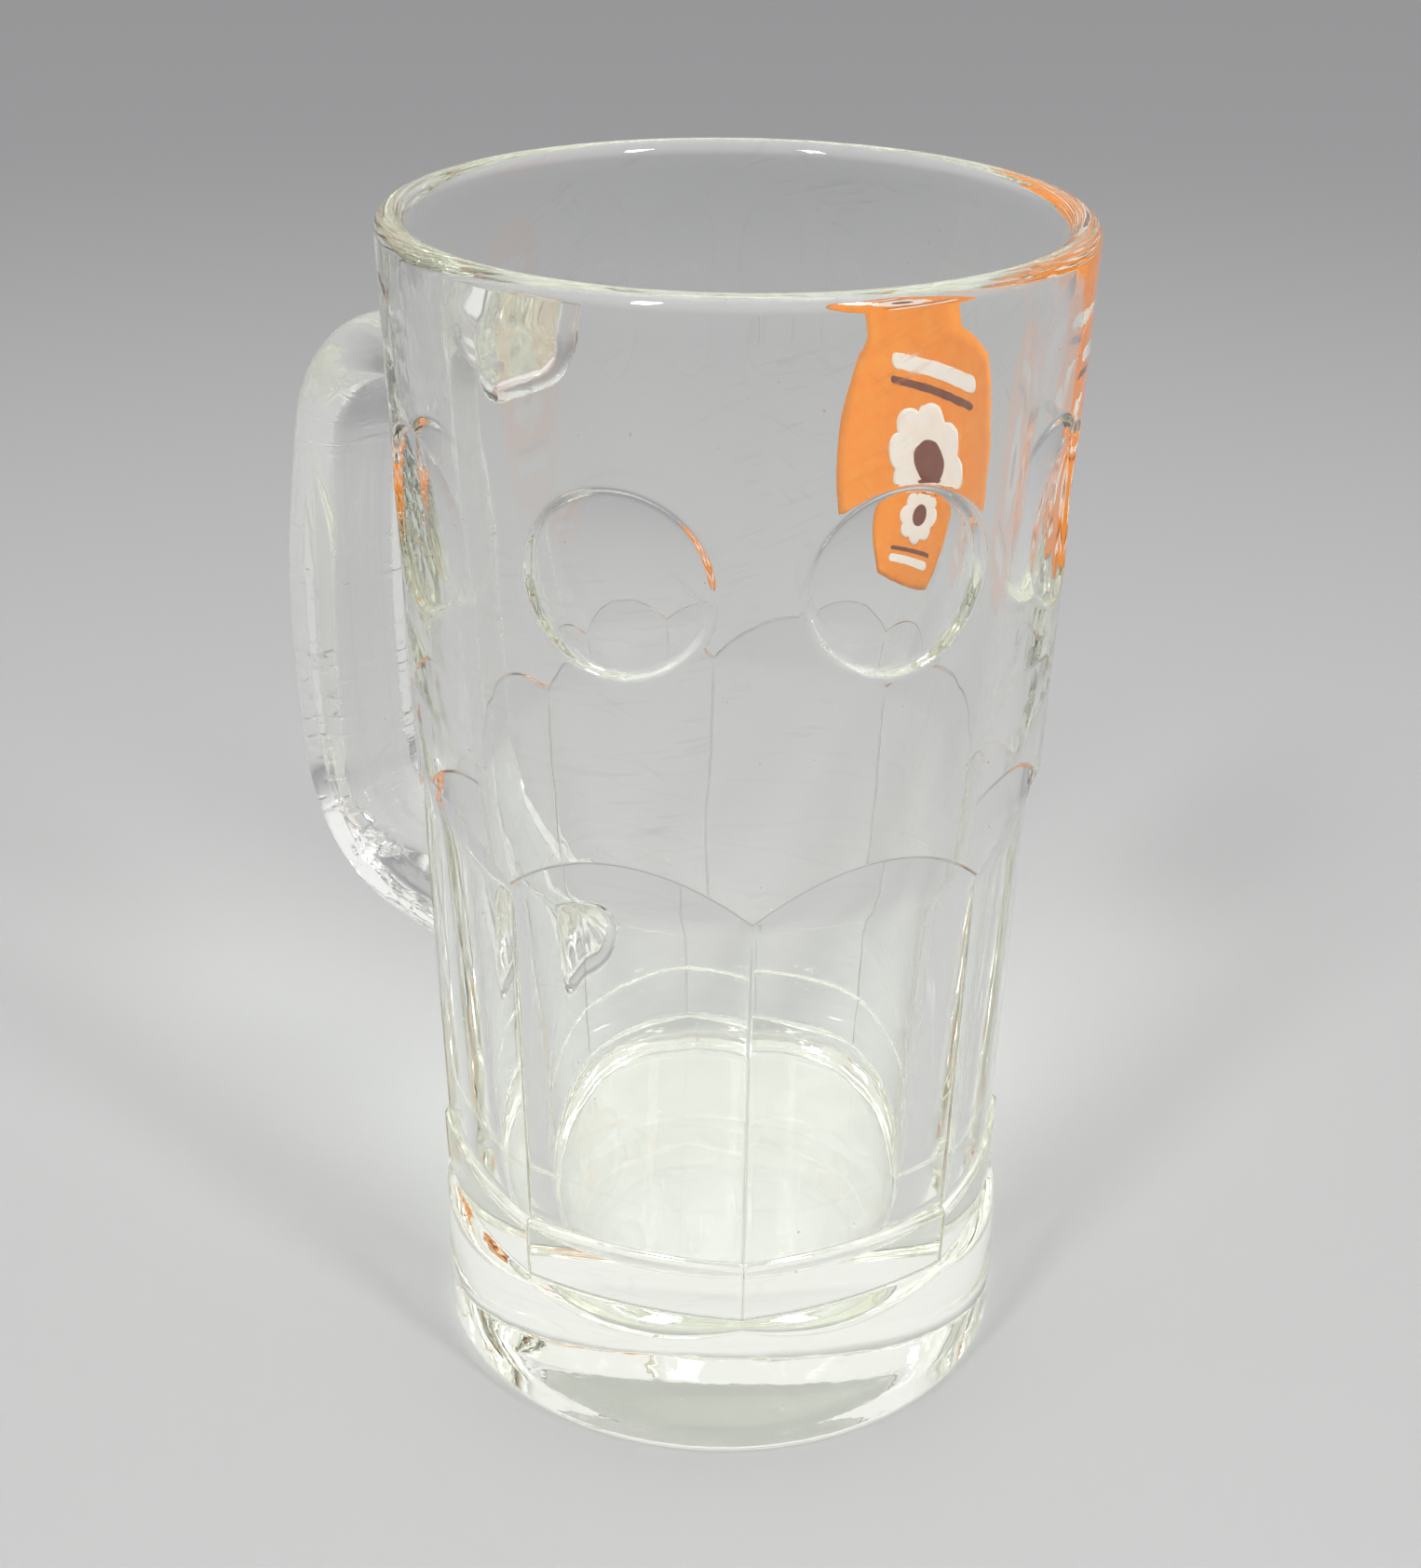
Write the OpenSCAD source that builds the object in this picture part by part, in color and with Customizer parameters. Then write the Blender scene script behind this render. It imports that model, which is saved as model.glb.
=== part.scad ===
// Heavy pressed-glass root beer mug with a fused handle and a fired enamel print.
// Millimetres, +Z up. The origin is on the mug's axis, at the table.
// The handle points along +X, and the print faces the side near -Y.

/* [Body] */
// Overall height of the mug
mug_h = 152.4; // [140:0.1:165]
// Outer diameter at the rim
rim_d = 84.1; // [80:0.1:90]
// Thickness of the glass at the rim
lip_t = 3.8; // [3:0.1:4.6]
// Outer diameter across the ridges, where the panels end
waist_d = 75.1; // [72:0.1:79]
// Outer diameter of the round foot
foot_d = 75.7; // [73:0.1:80]
// Height of the round foot
foot_h = 22; // [18:0.1:25]
// Radius of the edge round the underside
foot_round = 2.2; // [1:0.1:4]

/* [Inside] */
// Thickness of the glass under the drink
floor_t = 23; // [19:0.1:27]
// Inside diameter, where the wall would meet the floor
well_d = 56; // [48:0.1:58]
// Radius between the inside wall and the floor
well_round = 4.2; // [2:0.1:10]

/* [Underside] */
// Width of the flat ring that the mug stands on
rest_w = 9.4; // [3:0.1:12]
// Depth of the shallow dome under the foot
dish_depth = 1.2; // [0.6:0.1:2.4]

/* [Panels] */
// Number of panels round the lower body
panel_n = 8; // [7:1:10]
// How far a panel's middle lies inside the round of the body
panel_depth = 1.15; // [0.7:0.05:1.5]
// Height at which the panels begin
panel_z = 29.4; // [27:0.1:34]
// Height at which the arches spring from the ridges
spring_z = 78.3; // [68:0.1:86]
// Rise of an arch from its springing to its crown
arch_rise = 7.3; // [5:0.1:10]
// How far the faceted band stands out under the panels
band_step = 0.35; // [0.2:0.05:0.6]
// Depth of the groove between the band and the foot
groove_depth = 0.4; // [0.2:0.05:0.7]

/* [Thumbprints] */
// Diameter of a thumbprint
print_d = 21.6; // [17:0.1:24]
// Height of the thumbprints' middles
print_z = 120; // [112:0.1:125]
// Height of the step all round a thumbprint
print_step = 0.7; // [0.3:0.05:1.2]

/* [Handle] */
// Distance from the mug's axis to the outside of the grip
reach = 78.7; // [74:0.1:86]
// Width of the grip across the hand
grip_w = 16.4; // [13:0.1:19]
// Thickness of the grip at its middle
grip_t = 11; // [9:0.1:12.5]
// Radius of the grip's long edges
grip_round = 3.8; // [2:0.1:4.2]
// Height at which the middle of the upper arm meets the wall
upper_z = 127.2; // [118:0.1:132]
// Height at which the middle of the lower arm meets the wall
lower_z = 43.6; // [40:0.1:56]
// Bend radius between the upper arm and the grip
upper_bend = 18; // [14:0.5:20]
// Bend radius between the grip and the lower arm
lower_bend = 16.5; // [14:0.5:19]
// Fall of the upper arm away from the wall, in degrees
upper_fall = 3; // [0:0.5:8]
// Rise of the lower arm away from the wall, in degrees
lower_rise = 9.5; // [4:0.5:14]
// Lean of the grip's upper end, in degrees from upright
upper_lean = 10; // [6:0.5:14]
// Lean of the grip's lower end, in degrees from upright
lower_lean = 8; // [5:0.5:12]
// Thickness of the upper arm and its bend
upper_t = 8.8; // [8.6:0.1:12]
// Thickness of the lower arm at the wall
lower_t = 12.6; // [9:0.1:14]
// Radius of the fillet where an arm runs into the wall
root_round = 2.4; // [1:0.1:3.4]

/* [Enamel print] */
// Turn of the print's middle about the mug's axis, in degrees from the handle
enamel_turn = -95.5; // [-100:0.5:-80]
// Height of the print's middle
enamel_z = 111.5; // [106:0.1:114]
// Width of the print
enamel_w = 32; // [24:0.1:34]
// Height of the print
enamel_h = 38; // [32:0.1:40]
// Radius of the print's bowed sides
enamel_bow = 36; // [26:1:60]
// Thickness of the fired enamel
enamel_t = 0.12; // [0.08:0.01:0.3]
// Diameter of a petal of the flower
petal_d = 5.4; // [4.4:0.1:6.4]
// Diameter of the circle that the petals stand on
petal_ring_d = 10.4; // [9:0.1:12]
// Diameter of the flower's heart
heart_d = 6; // [4:0.1:8]
// Length of the stripes above and below the flower
stripe_len = 17; // [12:0.1:20]
// Width of a cream stripe
stripe_w = 2.2; // [1.4:0.1:2.8]
// Width of a brown stripe
line_w = 1.1; // [0.7:0.1:1.6]

/* [Hidden] */
$fn = 96;

// One overrun serves every cut
over = 5;

rim_r = rim_d / 2;
lip_r = lip_t / 2;
waist_r = waist_d / 2;
foot_r = foot_d / 2;
well_r = well_d / 2;
lip_z = mug_h - lip_r;

// Outer radius of the plain round body at a height
function wall_r(z) = waist_r + (rim_r - waist_r) * (z - panel_z) / (lip_z - panel_z);

// A panel is a wide round surface turned about an axis on the far side of the mug.
// Its radius is such that neighbouring panels meet in a ridge, just under the round of the body.
panel_turn = 360 / panel_n;
ridge_land = 0.12;
function ridge_r(z) = wall_r(z) - ridge_land;
mid_panel_r = ridge_r((panel_z + spring_z) / 2);
panel_off = panel_depth * (2 * mid_panel_r - panel_depth)
    / (2 * (mid_panel_r * (1 - cos(panel_turn / 2)) - panel_depth));
function panel_r(z) = sqrt(pow(ridge_r(z), 2) + pow(panel_off, 2)
    + 2 * ridge_r(z) * panel_off * cos(panel_turn / 2));

// Above the springing a panel leans out until its middle meets the round body at the crown
crown_z = spring_z + arch_rise;
crown_slope = (wall_r(crown_z) + panel_off - panel_r(spring_z)) / arch_rise;
panel_top_z = mug_h + over;

// The steps under the panels: a small ledge, the faceted band, a groove and the foot's bevel
ledge_h = 0.6;
groove_w = 0.7;
groove_r = panel_r(foot_h) + band_step - groove_depth;
foot_bevel = 0.85;
band_r = waist_r + band_step;
clear_r = max(foot_r, band_r) + panel_off + over;

// Thumbprints sit in the middles of those panels that the handle and the print leave free
handle_turn = 0;
function turn_between(a, b) = abs((a - b + 540) % 360 - 180);
print_r = wall_r(print_z);
function half_turn(width) = asin(width / 2 / print_r);
print_turns = [for (i = [0 : panel_n - 1]) let (a = (i + 0.5) * panel_turn)
    if (turn_between(a, handle_turn) > half_turn(print_d) + half_turn(grip_w)
        && turn_between(a, enamel_turn) > half_turn(print_d) + half_turn(enamel_w)) a];

// A thumbprint is pressed by a bar as round as the body, laid across it square to the wall.
// Its floor lies a step behind the chord across the hollow.
print_depth = print_r - sqrt(pow(print_r, 2) - pow(print_d / 2, 2)) + print_step;
wall_lean = atan((rim_r - waist_r) / (lip_z - panel_z));

// The inside wall runs straight from the lip to the rounded corner of the floor
well_slope = (rim_r - lip_t - well_r) / (lip_z - floor_t);
well_lean = sqrt(1 + pow(well_slope, 2));
corner_z = floor_t + well_round;
corner_r = well_r + well_slope * well_round - well_round * well_lean;

// The dome under the foot is part of a large sphere
dish_r = foot_r - foot_round - rest_w;
dome_r = (pow(dish_r, 2) + pow(dish_depth, 2)) / (2 * dish_depth);

// Points of the section that one panel leaves about its own axis, from the foot up
panel_points = [
    [groove_r, foot_h - groove_w],
    [panel_r(foot_h) + band_step, foot_h],
    [panel_r(panel_z) + band_step, panel_z],
    [panel_r(panel_z + ledge_h), panel_z + ledge_h],
    [panel_r(spring_z), spring_z],
    [panel_r(spring_z) + crown_slope * (panel_top_z - spring_z), panel_top_z]
];

// Distance of the outer wall from the mug's middle plane, at y to the side of a ridge
panel_side = panel_off * sin(panel_turn / 2);
panel_back = panel_off * cos(panel_turn / 2);
function panel_edge(z) = lookup(z, [for (p = panel_points) [p.y, p.x]]);
function wall_x(y, z) = min(sqrt(pow(wall_r(z), 2) - y * y),
    sqrt(pow(panel_edge(z), 2) - pow(abs(y) + panel_side, 2)) - panel_back);

// The handle's centre line, drawn with x away from the mug and y up:
// an arm, a bend, the long bow of the grip, a bend and an arm, with the headings between them
grip_r = reach - grip_t / 2;
head = [-upper_fall, upper_lean - 90, -lower_lean - 90, lower_rise - 180];
start = [wall_x(0, upper_z), upper_z];
finish = [wall_x(0, lower_z), lower_z];
function arc_step(a, b) = [sin(a) - sin(b), cos(b) - cos(a)];
function along(p, a, d) = p + d * [cos(a), sin(a)];
upper_step = upper_bend * arc_step(head[0], head[1]);
lower_step = lower_bend * arc_step(head[2], head[3]);
bow_step = arc_step(head[1], head[2]);
upper_run = grip_r - start.x - upper_step.x;
lower_run = finish.x - grip_r - lower_step.x;
upper_gain = 1 + sin(head[1]);
lower_gain = 1 + sin(head[2]);
bow_r = (finish.y - start.y - upper_step.y - lower_step.y
    - tan(head[0]) * upper_run - tan(head[3]) * lower_run)
    / (bow_step.y - tan(head[0]) * upper_gain + tan(head[3]) * lower_gain);
upper_arm = (upper_run - bow_r * upper_gain) / cos(head[0]);
bend_1 = along(start, head[0], upper_arm);
bow_1 = bend_1 + upper_step;
bend_2 = bow_1 + bow_r * bow_step;

// Stations along the handle, each with its middle, its heading and its thickness.
// The bow swells from the thickness of the upper arm to that of the grip by its middle.
bend_steps = 11;
bow_steps = 8;
function blend(a, b, share) = a + (b - a) * (1 - cos(180 * share)) / 2;
function stations(p, from, to, radius, thick, next_thick, steps) =
    [for (i = [1 : steps]) let (share = i / steps, heading = from + (to - from) * share)
        [p + radius * arc_step(from, heading), heading, blend(thick, next_thick, share)]];
bow_middle = (head[1] + head[2]) / 2;
middle_p = bow_1 + bow_r * arc_step(head[1], bow_middle);
grip_stations = concat(
    [[bend_1, head[0], upper_t]],
    stations(bend_1, head[0], head[1], upper_bend, upper_t, upper_t, bend_steps),
    stations(bow_1, head[1], bow_middle, bow_r, upper_t, grip_t, bow_steps / 2),
    stations(middle_p, bow_middle, head[2], bow_r, grip_t, grip_t, bow_steps / 2),
    stations(bend_2, head[2], head[3], lower_bend, grip_t, lower_t, bend_steps)
);

// Points round the grip's section, first across its thickness and then across its width.
// Each side has a point in its middle, and spread widens the section all round.
corner_steps = 5;
function section(thick, spread) = [
    for (q = [0 : 3]) let (sx = q == 0 || q == 3 ? 1 : -1, sy = q < 2 ? 1 : -1,
        corner = [sx * (thick / 2 - grip_round), sy * (grip_w / 2 - grip_round)],
        round_r = grip_round + spread)
        for (k = [-1 : corner_steps]) let (a = 90 * (q + k / corner_steps))
            k < 0 ? [q % 2 == 0 ? sx * (thick / 2 + spread) : 0,
                q % 2 == 0 ? 0 : sy * (grip_w / 2 + spread)]
                : corner + round_r * [cos(a), sin(a)]
];
section_n = 4 * (corner_steps + 2);

// A section's place at a station, with its first axis to the outside of the handle
function outward(heading) = [-sin(heading), cos(heading)];
function ring(s) = [for (q = section(s[2], 0)) let (c = s[0] + q.x * outward(s[1])) [c.x, q.y, c.y]];

// How far a line from a point runs along a direction before it meets the wall
function to_wall(p, d, y, run = 0, tries = 5) = tries == 0 ? run
    : to_wall(p, d, y, (wall_x(y, p.y + run * d.y) - p.x) / d.x, tries - 1);

// A section that follows the wall at an arm's root, lifted off it by a distance
function root_ring(p, heading, away, outline, lift) = [
    for (q = outline) let (base = p + q.x * outward(heading), d = away * [cos(heading), sin(heading)],
        c = base + (to_wall(base, d, q.y) + lift) * d) [c.x, q.y, c.y]
];

// The rings of a root, from the middle of the joint outwards and then up the fillet
cap_shares = [0, 1 / 3, 2 / 3];
fillet_steps = 5;
fillet_start = 20;
function root_rings(p, heading, away, thick) = concat(
    [for (share = cap_shares) root_ring(p, heading, away,
        share * section(thick, root_round * (1 - sin(fillet_start))), 0)],
    [for (i = [0 : fillet_steps]) let (a = fillet_start + (90 - fillet_start) * i / fillet_steps)
        root_ring(p, heading, away, section(thick, root_round * (1 - sin(a))),
            root_round * (cos(fillet_start) - cos(a)))]
);
function backwards(list) = [for (i = [len(list) - 1 : -1 : 0]) list[i]];
handle_rings = concat(
    root_rings(start, head[0], 1, upper_t),
    [for (s = grip_stations) ring(s)],
    backwards(root_rings(finish, head[3], -1, lower_t))
);

// The flower's outline and the places of the stripes above and below it
petal_n = 8;
flower_r = (petal_ring_d + petal_d) / 2;
line_at = flower_r + line_w + line_w / 2;
stripe_at = line_at + line_w + line_w / 2 + stripe_w / 2;

// Section of the body as a solid, with its rounded lower edge and the round of its lip
module body_outline() {
    polygon([
        [0, 0], [foot_r - foot_round, 0], [foot_r - foot_round, foot_round],
        [foot_r, foot_round], [foot_r, foot_h], [band_r, foot_h], [band_r, panel_z],
        [wall_r(panel_z + ledge_h), panel_z + ledge_h], [rim_r, lip_z], [0, lip_z]
    ]);
    translate([foot_r - foot_round, foot_round]) circle(foot_round);
    translate([rim_r - lip_r, lip_z]) circle(lip_r);
}

// Section of the well that holds the drink
module well_outline() {
    polygon([
        [0, floor_t], [corner_r, floor_t], [corner_r, corner_z],
        [corner_r + well_round / well_lean, corner_z - well_round * well_slope / well_lean],
        [rim_r - lip_t, lip_z], [0, lip_z]
    ]);
    translate([corner_r, corner_z]) circle(well_round);
}

// Section of the round space that one panel leaves, about the panel's own axis
module panel_outline() {
    polygon(concat(
        [[0, -over], [clear_r, -over],
            [clear_r, foot_h - groove_w - foot_bevel * (clear_r - groove_r)]],
        panel_points,
        [[0, panel_top_z]]
    ));
}

// The round body cut by its ring of panels, without the well
module body_form() {
    intersection() {
        rotate_extrude() body_outline();
        intersection_for (i = [0 : panel_n - 1])
            rotate([0, 0, (i + 0.5) * panel_turn]) translate([-panel_off, 0, 0])
                rotate_extrude() panel_outline();
    }
}

// A round hollow with a low step all the way round
module thumbprint() {
    translate([print_r, 0, print_z]) rotate([0, wall_lean, 0]) translate([-print_depth, 0, 0])
        intersection() {
            translate([print_r, 0, 0]) rotate([90, 0, 0])
                cylinder(r = print_r, h = print_d + 2 * over, center = true);
            rotate([0, 90, 0]) translate([0, 0, -over]) cylinder(d = print_d, h = print_depth + 2 * over);
        }
}

// The space under the foot's dome
module dish() {
    translate([0, 0, dish_depth - dome_r]) sphere(dome_r, $fn = 4 * $fn);
}

module glass_body() {
    color([0.80, 0.86, 0.80, 0.45]) difference() {
        body_form();
        rotate_extrude() well_outline();
        dish();
        for (turn = print_turns) rotate([0, 0, turn]) thumbprint();
    }
}

// A tube through rings of points, closed at both ends by rings that have shrunk to a point
module tube(rings) {
    n = section_n;
    last = len(rings) - 1;
    points = concat([rings[0][0]], [for (k = [1 : last - 1]) each rings[k]], [rings[last][0]]);
    top = len(points) - 1;
    function at(k, i) = 1 + (k - 1) * n + i % n;
    polyhedron(points, concat(
        [for (i = [0 : n - 1]) [0, at(1, i + 1), at(1, i)]],
        [for (k = [1 : last - 2], i = [0 : n - 1]) each [
            [at(k, i), at(k + 1, i + 1), at(k + 1, i)],
            [at(k, i), at(k, i + 1), at(k + 1, i + 1)]
        ]],
        [for (i = [0 : n - 1]) [top, at(last - 1, i), at(last - 1, i + 1)]]
    ));
}

module handle() {
    color([0.78, 0.85, 0.79, 0.5]) rotate([0, 0, handle_turn]) tube(handle_rings);
}

// Carries a flat drawing onto the wall as a film: its x runs to the right seen from outside
module film() {
    low = enamel_z - enamel_h / 2 - over;
    high = enamel_z + enamel_h / 2 + over;
    intersection() {
        rotate_extrude() polygon([
            [wall_r(low), low], [wall_r(low) + enamel_t, low],
            [wall_r(high) + enamel_t, high], [wall_r(high), high]
        ]);
        rotate([0, 0, enamel_turn]) translate([0, 0, enamel_z]) rotate([90, 0, 90])
            linear_extrude(rim_r + over) children();
    }
}

// The print's bowed outline
module ground_drawing() {
    intersection() {
        translate([enamel_bow - enamel_w / 2, 0]) circle(enamel_bow);
        translate([enamel_w / 2 - enamel_bow, 0]) circle(enamel_bow);
        translate([0, enamel_bow - enamel_h / 2]) circle(enamel_bow);
        translate([0, enamel_h / 2 - enamel_bow]) circle(enamel_bow);
    }
}

module stripes(at, width) {
    for (y = [-at, at]) translate([0, y]) {
        square([stripe_len - width, width], center = true);
        for (x = [-1, 1]) translate([x * (stripe_len - width) / 2, 0]) circle(width / 2);
    }
}

module heart_drawing() {
    circle(heart_d / 2);
}

module flower_drawing() {
    circle(petal_ring_d / 2);
    for (i = [0 : petal_n - 1]) rotate(i * 360 / petal_n)
        translate([petal_ring_d / 2, 0]) circle(petal_d / 2);
}

module enamel_ground() {
    color([0.95, 0.45, 0.09]) film() difference() {
        ground_drawing();
        flower_drawing();
        stripes(stripe_at, stripe_w);
        stripes(line_at, line_w);
    }
}

module enamel_cream() {
    color([0.95, 0.90, 0.80]) film() {
        difference() {
            flower_drawing();
            heart_drawing();
        }
        stripes(stripe_at, stripe_w);
    }
}

module enamel_brown() {
    color([0.36, 0.18, 0.10]) film() {
        heart_drawing();
        stripes(line_at, line_w);
    }
}

glass_body();
handle();
enamel_ground();
enamel_cream();
enamel_brown();
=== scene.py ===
"""Heavy pressed-glass root beer mug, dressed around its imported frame.

Everything is in metres in the part's own frame: the origin is under the foot on the mug's axis,
+Z is up, the handle points along +X and the enamel print faces -Y. Each shape is a surface worked
out as whole arrays, either turned about the axis or carried along a path.
"""
import logging
from collections.abc import Callable, Sequence
from dataclasses import dataclass, field
from enum import Enum

import bpy
import numpy as np
from mathutils import Matrix, Vector


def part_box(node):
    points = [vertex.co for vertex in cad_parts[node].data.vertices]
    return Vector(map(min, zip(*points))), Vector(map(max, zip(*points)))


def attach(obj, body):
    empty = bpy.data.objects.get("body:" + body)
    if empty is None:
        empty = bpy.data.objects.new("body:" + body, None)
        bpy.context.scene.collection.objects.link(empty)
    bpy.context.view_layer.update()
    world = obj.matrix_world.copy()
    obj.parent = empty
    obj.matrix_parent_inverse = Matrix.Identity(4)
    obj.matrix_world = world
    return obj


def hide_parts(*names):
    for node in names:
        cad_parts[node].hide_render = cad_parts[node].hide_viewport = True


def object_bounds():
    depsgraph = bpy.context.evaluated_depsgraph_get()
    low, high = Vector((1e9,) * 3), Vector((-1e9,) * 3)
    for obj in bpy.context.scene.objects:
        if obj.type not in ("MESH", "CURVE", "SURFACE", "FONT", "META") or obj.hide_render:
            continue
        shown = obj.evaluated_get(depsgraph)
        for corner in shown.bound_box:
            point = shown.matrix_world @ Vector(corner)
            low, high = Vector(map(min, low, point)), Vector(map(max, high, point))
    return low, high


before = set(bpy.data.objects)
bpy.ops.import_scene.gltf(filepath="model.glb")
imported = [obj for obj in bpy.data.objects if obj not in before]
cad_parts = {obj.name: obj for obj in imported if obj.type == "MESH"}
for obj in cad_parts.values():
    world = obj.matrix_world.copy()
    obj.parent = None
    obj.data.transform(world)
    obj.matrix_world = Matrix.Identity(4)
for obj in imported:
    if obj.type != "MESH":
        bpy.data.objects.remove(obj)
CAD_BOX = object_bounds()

MM = 0.001
FULL_TURN = 2.0 * np.pi
GLASS_BOUNCES = 28
# Name of the body's mask of edge wear and painted shade along the seams and arches.
EDGE_WEAR_AND_SHADE = "edge_wear_and_shade"
UP = Vector((0.0, 0.0, 1.0))
log = logging.getLogger("mug")

Array = np.ndarray
Object, Material, Tree = bpy.types.Object, bpy.types.Material, bpy.types.NodeTree
Colour = tuple[float, float, float, float]
Vector3 = tuple[float, float, float]
Socket = bpy.types.NodeSocket
Sockets = bpy.types.bpy_prop_collection
Value = float | str | Sequence[float] | Tree | Socket
Inputs = dict[str | int, Value]


class Finish(Enum):
    """The mug's finishes, one for each material on it."""

    GLASS = "clear_glass"
    ORANGE = "orange_enamel"
    CREAM = "cream_enamel"
    BROWN = "brown_enamel"


# Each enamel's colour where the film is dense, and where it is thin.
ENAMEL_COLOURS: dict[Finish, tuple[Colour, Colour]] = {
    Finish.ORANGE: ((0.97, 0.29, 0.004, 1.0), (0.97, 0.37, 0.02, 1.0)),
    Finish.CREAM: ((0.95, 0.92, 0.86, 1.0), (0.93, 0.80, 0.64, 1.0)),
    Finish.BROWN: ((0.18, 0.042, 0.014, 1.0), (0.27, 0.075, 0.02, 1.0)),
}


def smooth_step(x: Array) -> Array:
    """Eases from 0 to 1 as x goes from 0 to 1, by 3x^2 - 2x^3, and stays flat outside."""
    x = np.clip(x, 0.0, 1.0)
    return x * x * (3.0 - 2.0 * x)


def soft_min(a: Array, b: Array, blend: float) -> Array:
    """Gives the lower of two surfaces, less (blend - gap)^2 / (4 blend) where the gap is under the blend."""
    gap = np.maximum(blend - np.abs(a - b), 0.0)
    return np.minimum(a, b) - gap * gap / (4.0 * blend)


def arc(centre: tuple[float, float], radius: float, start: float, stop: float, count: int) -> Array:
    """Gives points (distance, height) along an arc of a profile, by degrees from straight outwards."""
    a = np.radians(np.linspace(start, stop, count))
    return np.stack([centre[0] + radius * np.cos(a), centre[1] + radius * np.sin(a)], axis=-1)


def line(start: Sequence[float], stop: Sequence[float], count: int) -> Array:
    """Gives points along a straight stretch of a profile, without its last point."""
    share = np.arange(count)[:, None] / count
    return np.asarray(start) + share * (np.asarray(stop) - np.asarray(start))


def add_object(name: str, data: bpy.types.ID) -> Object:
    """Makes an object and links it to the scene.

    Args:
        name: Name of the object.
        data: Its mesh, lamp or camera.

    Returns:
        The object, at the origin.
    """
    thing = bpy.data.objects.new(name, data)
    bpy.context.scene.collection.objects.link(thing)
    return thing


def closed_surface(name: str, grid: Array, **marks: Array) -> Object:
    """Makes a closed object from a grid that wraps round and shrinks to a point at both ends.

    Point (i, j) of the grid joins (i + 1, j) and (i, j + 1), and the last column joins the first.
    The first and the last row each become one point with a fan of triangles. The enclosed volume,
    a sum of (a x b) . c / 6 over the faces, tells whether the columns have to be turned round so
    that the faces point outwards.

    Args:
        name: Name of the object and of its mesh.
        grid: Points with shape (rows, columns, 3).
        **marks: Attributes of the points by name, each with shape (rows, columns).

    Returns:
        The object, linked to the scene, at the origin.
    """
    rows, columns = grid.shape[0] - 2, grid.shape[1]
    points = np.concatenate([grid[0, :1], grid[1:-1].reshape(-1, 3), grid[-1, :1]])
    ring = 1 + np.arange(rows * columns).reshape(rows, columns)
    after = np.roll(ring, -1, axis=1)
    quads = np.stack([ring[:-1], after[:-1], after[1:], ring[1:]], axis=-1).reshape(-1, 4)
    first = np.stack([np.zeros(columns, int), after[0], ring[0]], axis=-1)
    last = np.stack([np.full(columns, len(points) - 1), ring[-1], after[-1]], axis=-1)
    a, b, c, d = (points[quads[:, k]] for k in range(4))
    volume = np.sum(np.cross(a, b) * c) + np.sum(np.cross(a, c) * d)
    if volume < 0.0:
        quads, first, last = quads[:, ::-1], first[:, ::-1], last[:, ::-1]
    faces = [*first.tolist(), *quads.tolist(), *last.tolist()]
    mesh = bpy.data.meshes.new(name)
    mesh.from_pydata(points.tolist(), [], faces)
    mesh.shade_smooth()
    mesh.validate()
    for mark, values in marks.items():
        flat = np.concatenate([values[0, :1], values[1:-1].ravel(), values[-1, :1]]).astype(np.float32)
        mesh.attributes.new(mark, "FLOAT", "POINT").data.foreach_set("value", flat)
    log.info("%s: %d faces", name, len(faces))
    return add_object(name, mesh)


@dataclass(frozen=True)
class Thumbprints:
    """The round hollows pressed into the upper panels, as if by a round bar laid across each one.

    Attributes:
        turns: Angles about the mug's axis, in degrees from the handle.
        height: Height of the hollows' middles.
        radius: Radius of a hollow.
        step: Height of the step all round a hollow.
        edge: Width of the rounded step.
    """

    turns: tuple[float, ...] = (67.5, 112.5, 157.5, 202.5)
    height: float = 120.0 * MM
    radius: float = 10.8 * MM
    step: float = 0.7 * MM
    edge: float = 0.9 * MM

    PULL = 0.6
    PULL_REACH = 2.2 * MM
    FACING = 0.5

    def press(self, radius: Array, theta: Array, z: Array, wall: float, lean: float) -> Array:
        """Presses the hollows into a surface given by its distance from the axis.

        The bar has the wall's own radius R and lies across the hollow, square to the wall. Its
        surface is at c - sqrt(R^2 - (z - z0)^2) along the hollow's own direction, a step behind
        the chord across the hollow. The surface eases down to it over the width of the edge.

        Args:
            radius: Distance of the plain surface from the axis.
            theta: Angle about the axis, in radians.
            z: Height.
            wall: Distance of the plain wall at the hollows' middles.
            lean: Lean of the wall from upright, in radians.

        Returns:
            The pressed distance.
        """
        depth = wall - np.sqrt(wall**2 - self.radius**2) + self.step
        middle = wall + (wall - depth) * np.cos(lean)
        bar_z = self.height - (wall - depth) * np.sin(lean)
        bottom = middle - np.sqrt(np.maximum(wall**2 - (z - bar_z) ** 2, 0.0))
        for turn in np.radians(self.turns):
            facing = np.cos(theta - turn)
            away = np.hypot(radius * np.sin(theta - turn), (z - self.height) / np.cos(lean))
            share = smooth_step((self.radius + self.edge / 2.0 - away) / self.edge)
            pressed = bottom / np.maximum(facing, self.FACING)
            radius = radius - np.where(facing > self.FACING, share * np.maximum(radius - pressed, 0.0), 0.0)
        return radius

    def draw_in(self, theta: Array, z: Array, wall: float) -> tuple[Array, Array]:
        """Moves the points of the grid closer to each hollow's edge, so that several lie on its step.

        A point at distance d from a hollow's middle goes to R + (d - R) (1 - a exp(-((d - R) / w)^2)),
        where R is the hollow's radius, a the pull and w its reach.

        Args:
            theta: Angles about the axis, in radians.
            z: Heights.
            wall: Distance of the plain wall at the hollows' middles.

        Returns:
            The moved angles and heights.
        """
        for turn in np.radians(self.turns):
            across = wall * ((theta - turn + np.pi) % FULL_TURN - np.pi)
            up = z - self.height
            away = np.hypot(across, up)
            off = away - self.radius
            moved = -off * self.PULL * np.exp(-((off / self.PULL_REACH) ** 2)) / np.maximum(away, self.edge)
            theta, z = theta + across * moved / wall, z + up * moved
        return theta, z


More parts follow.
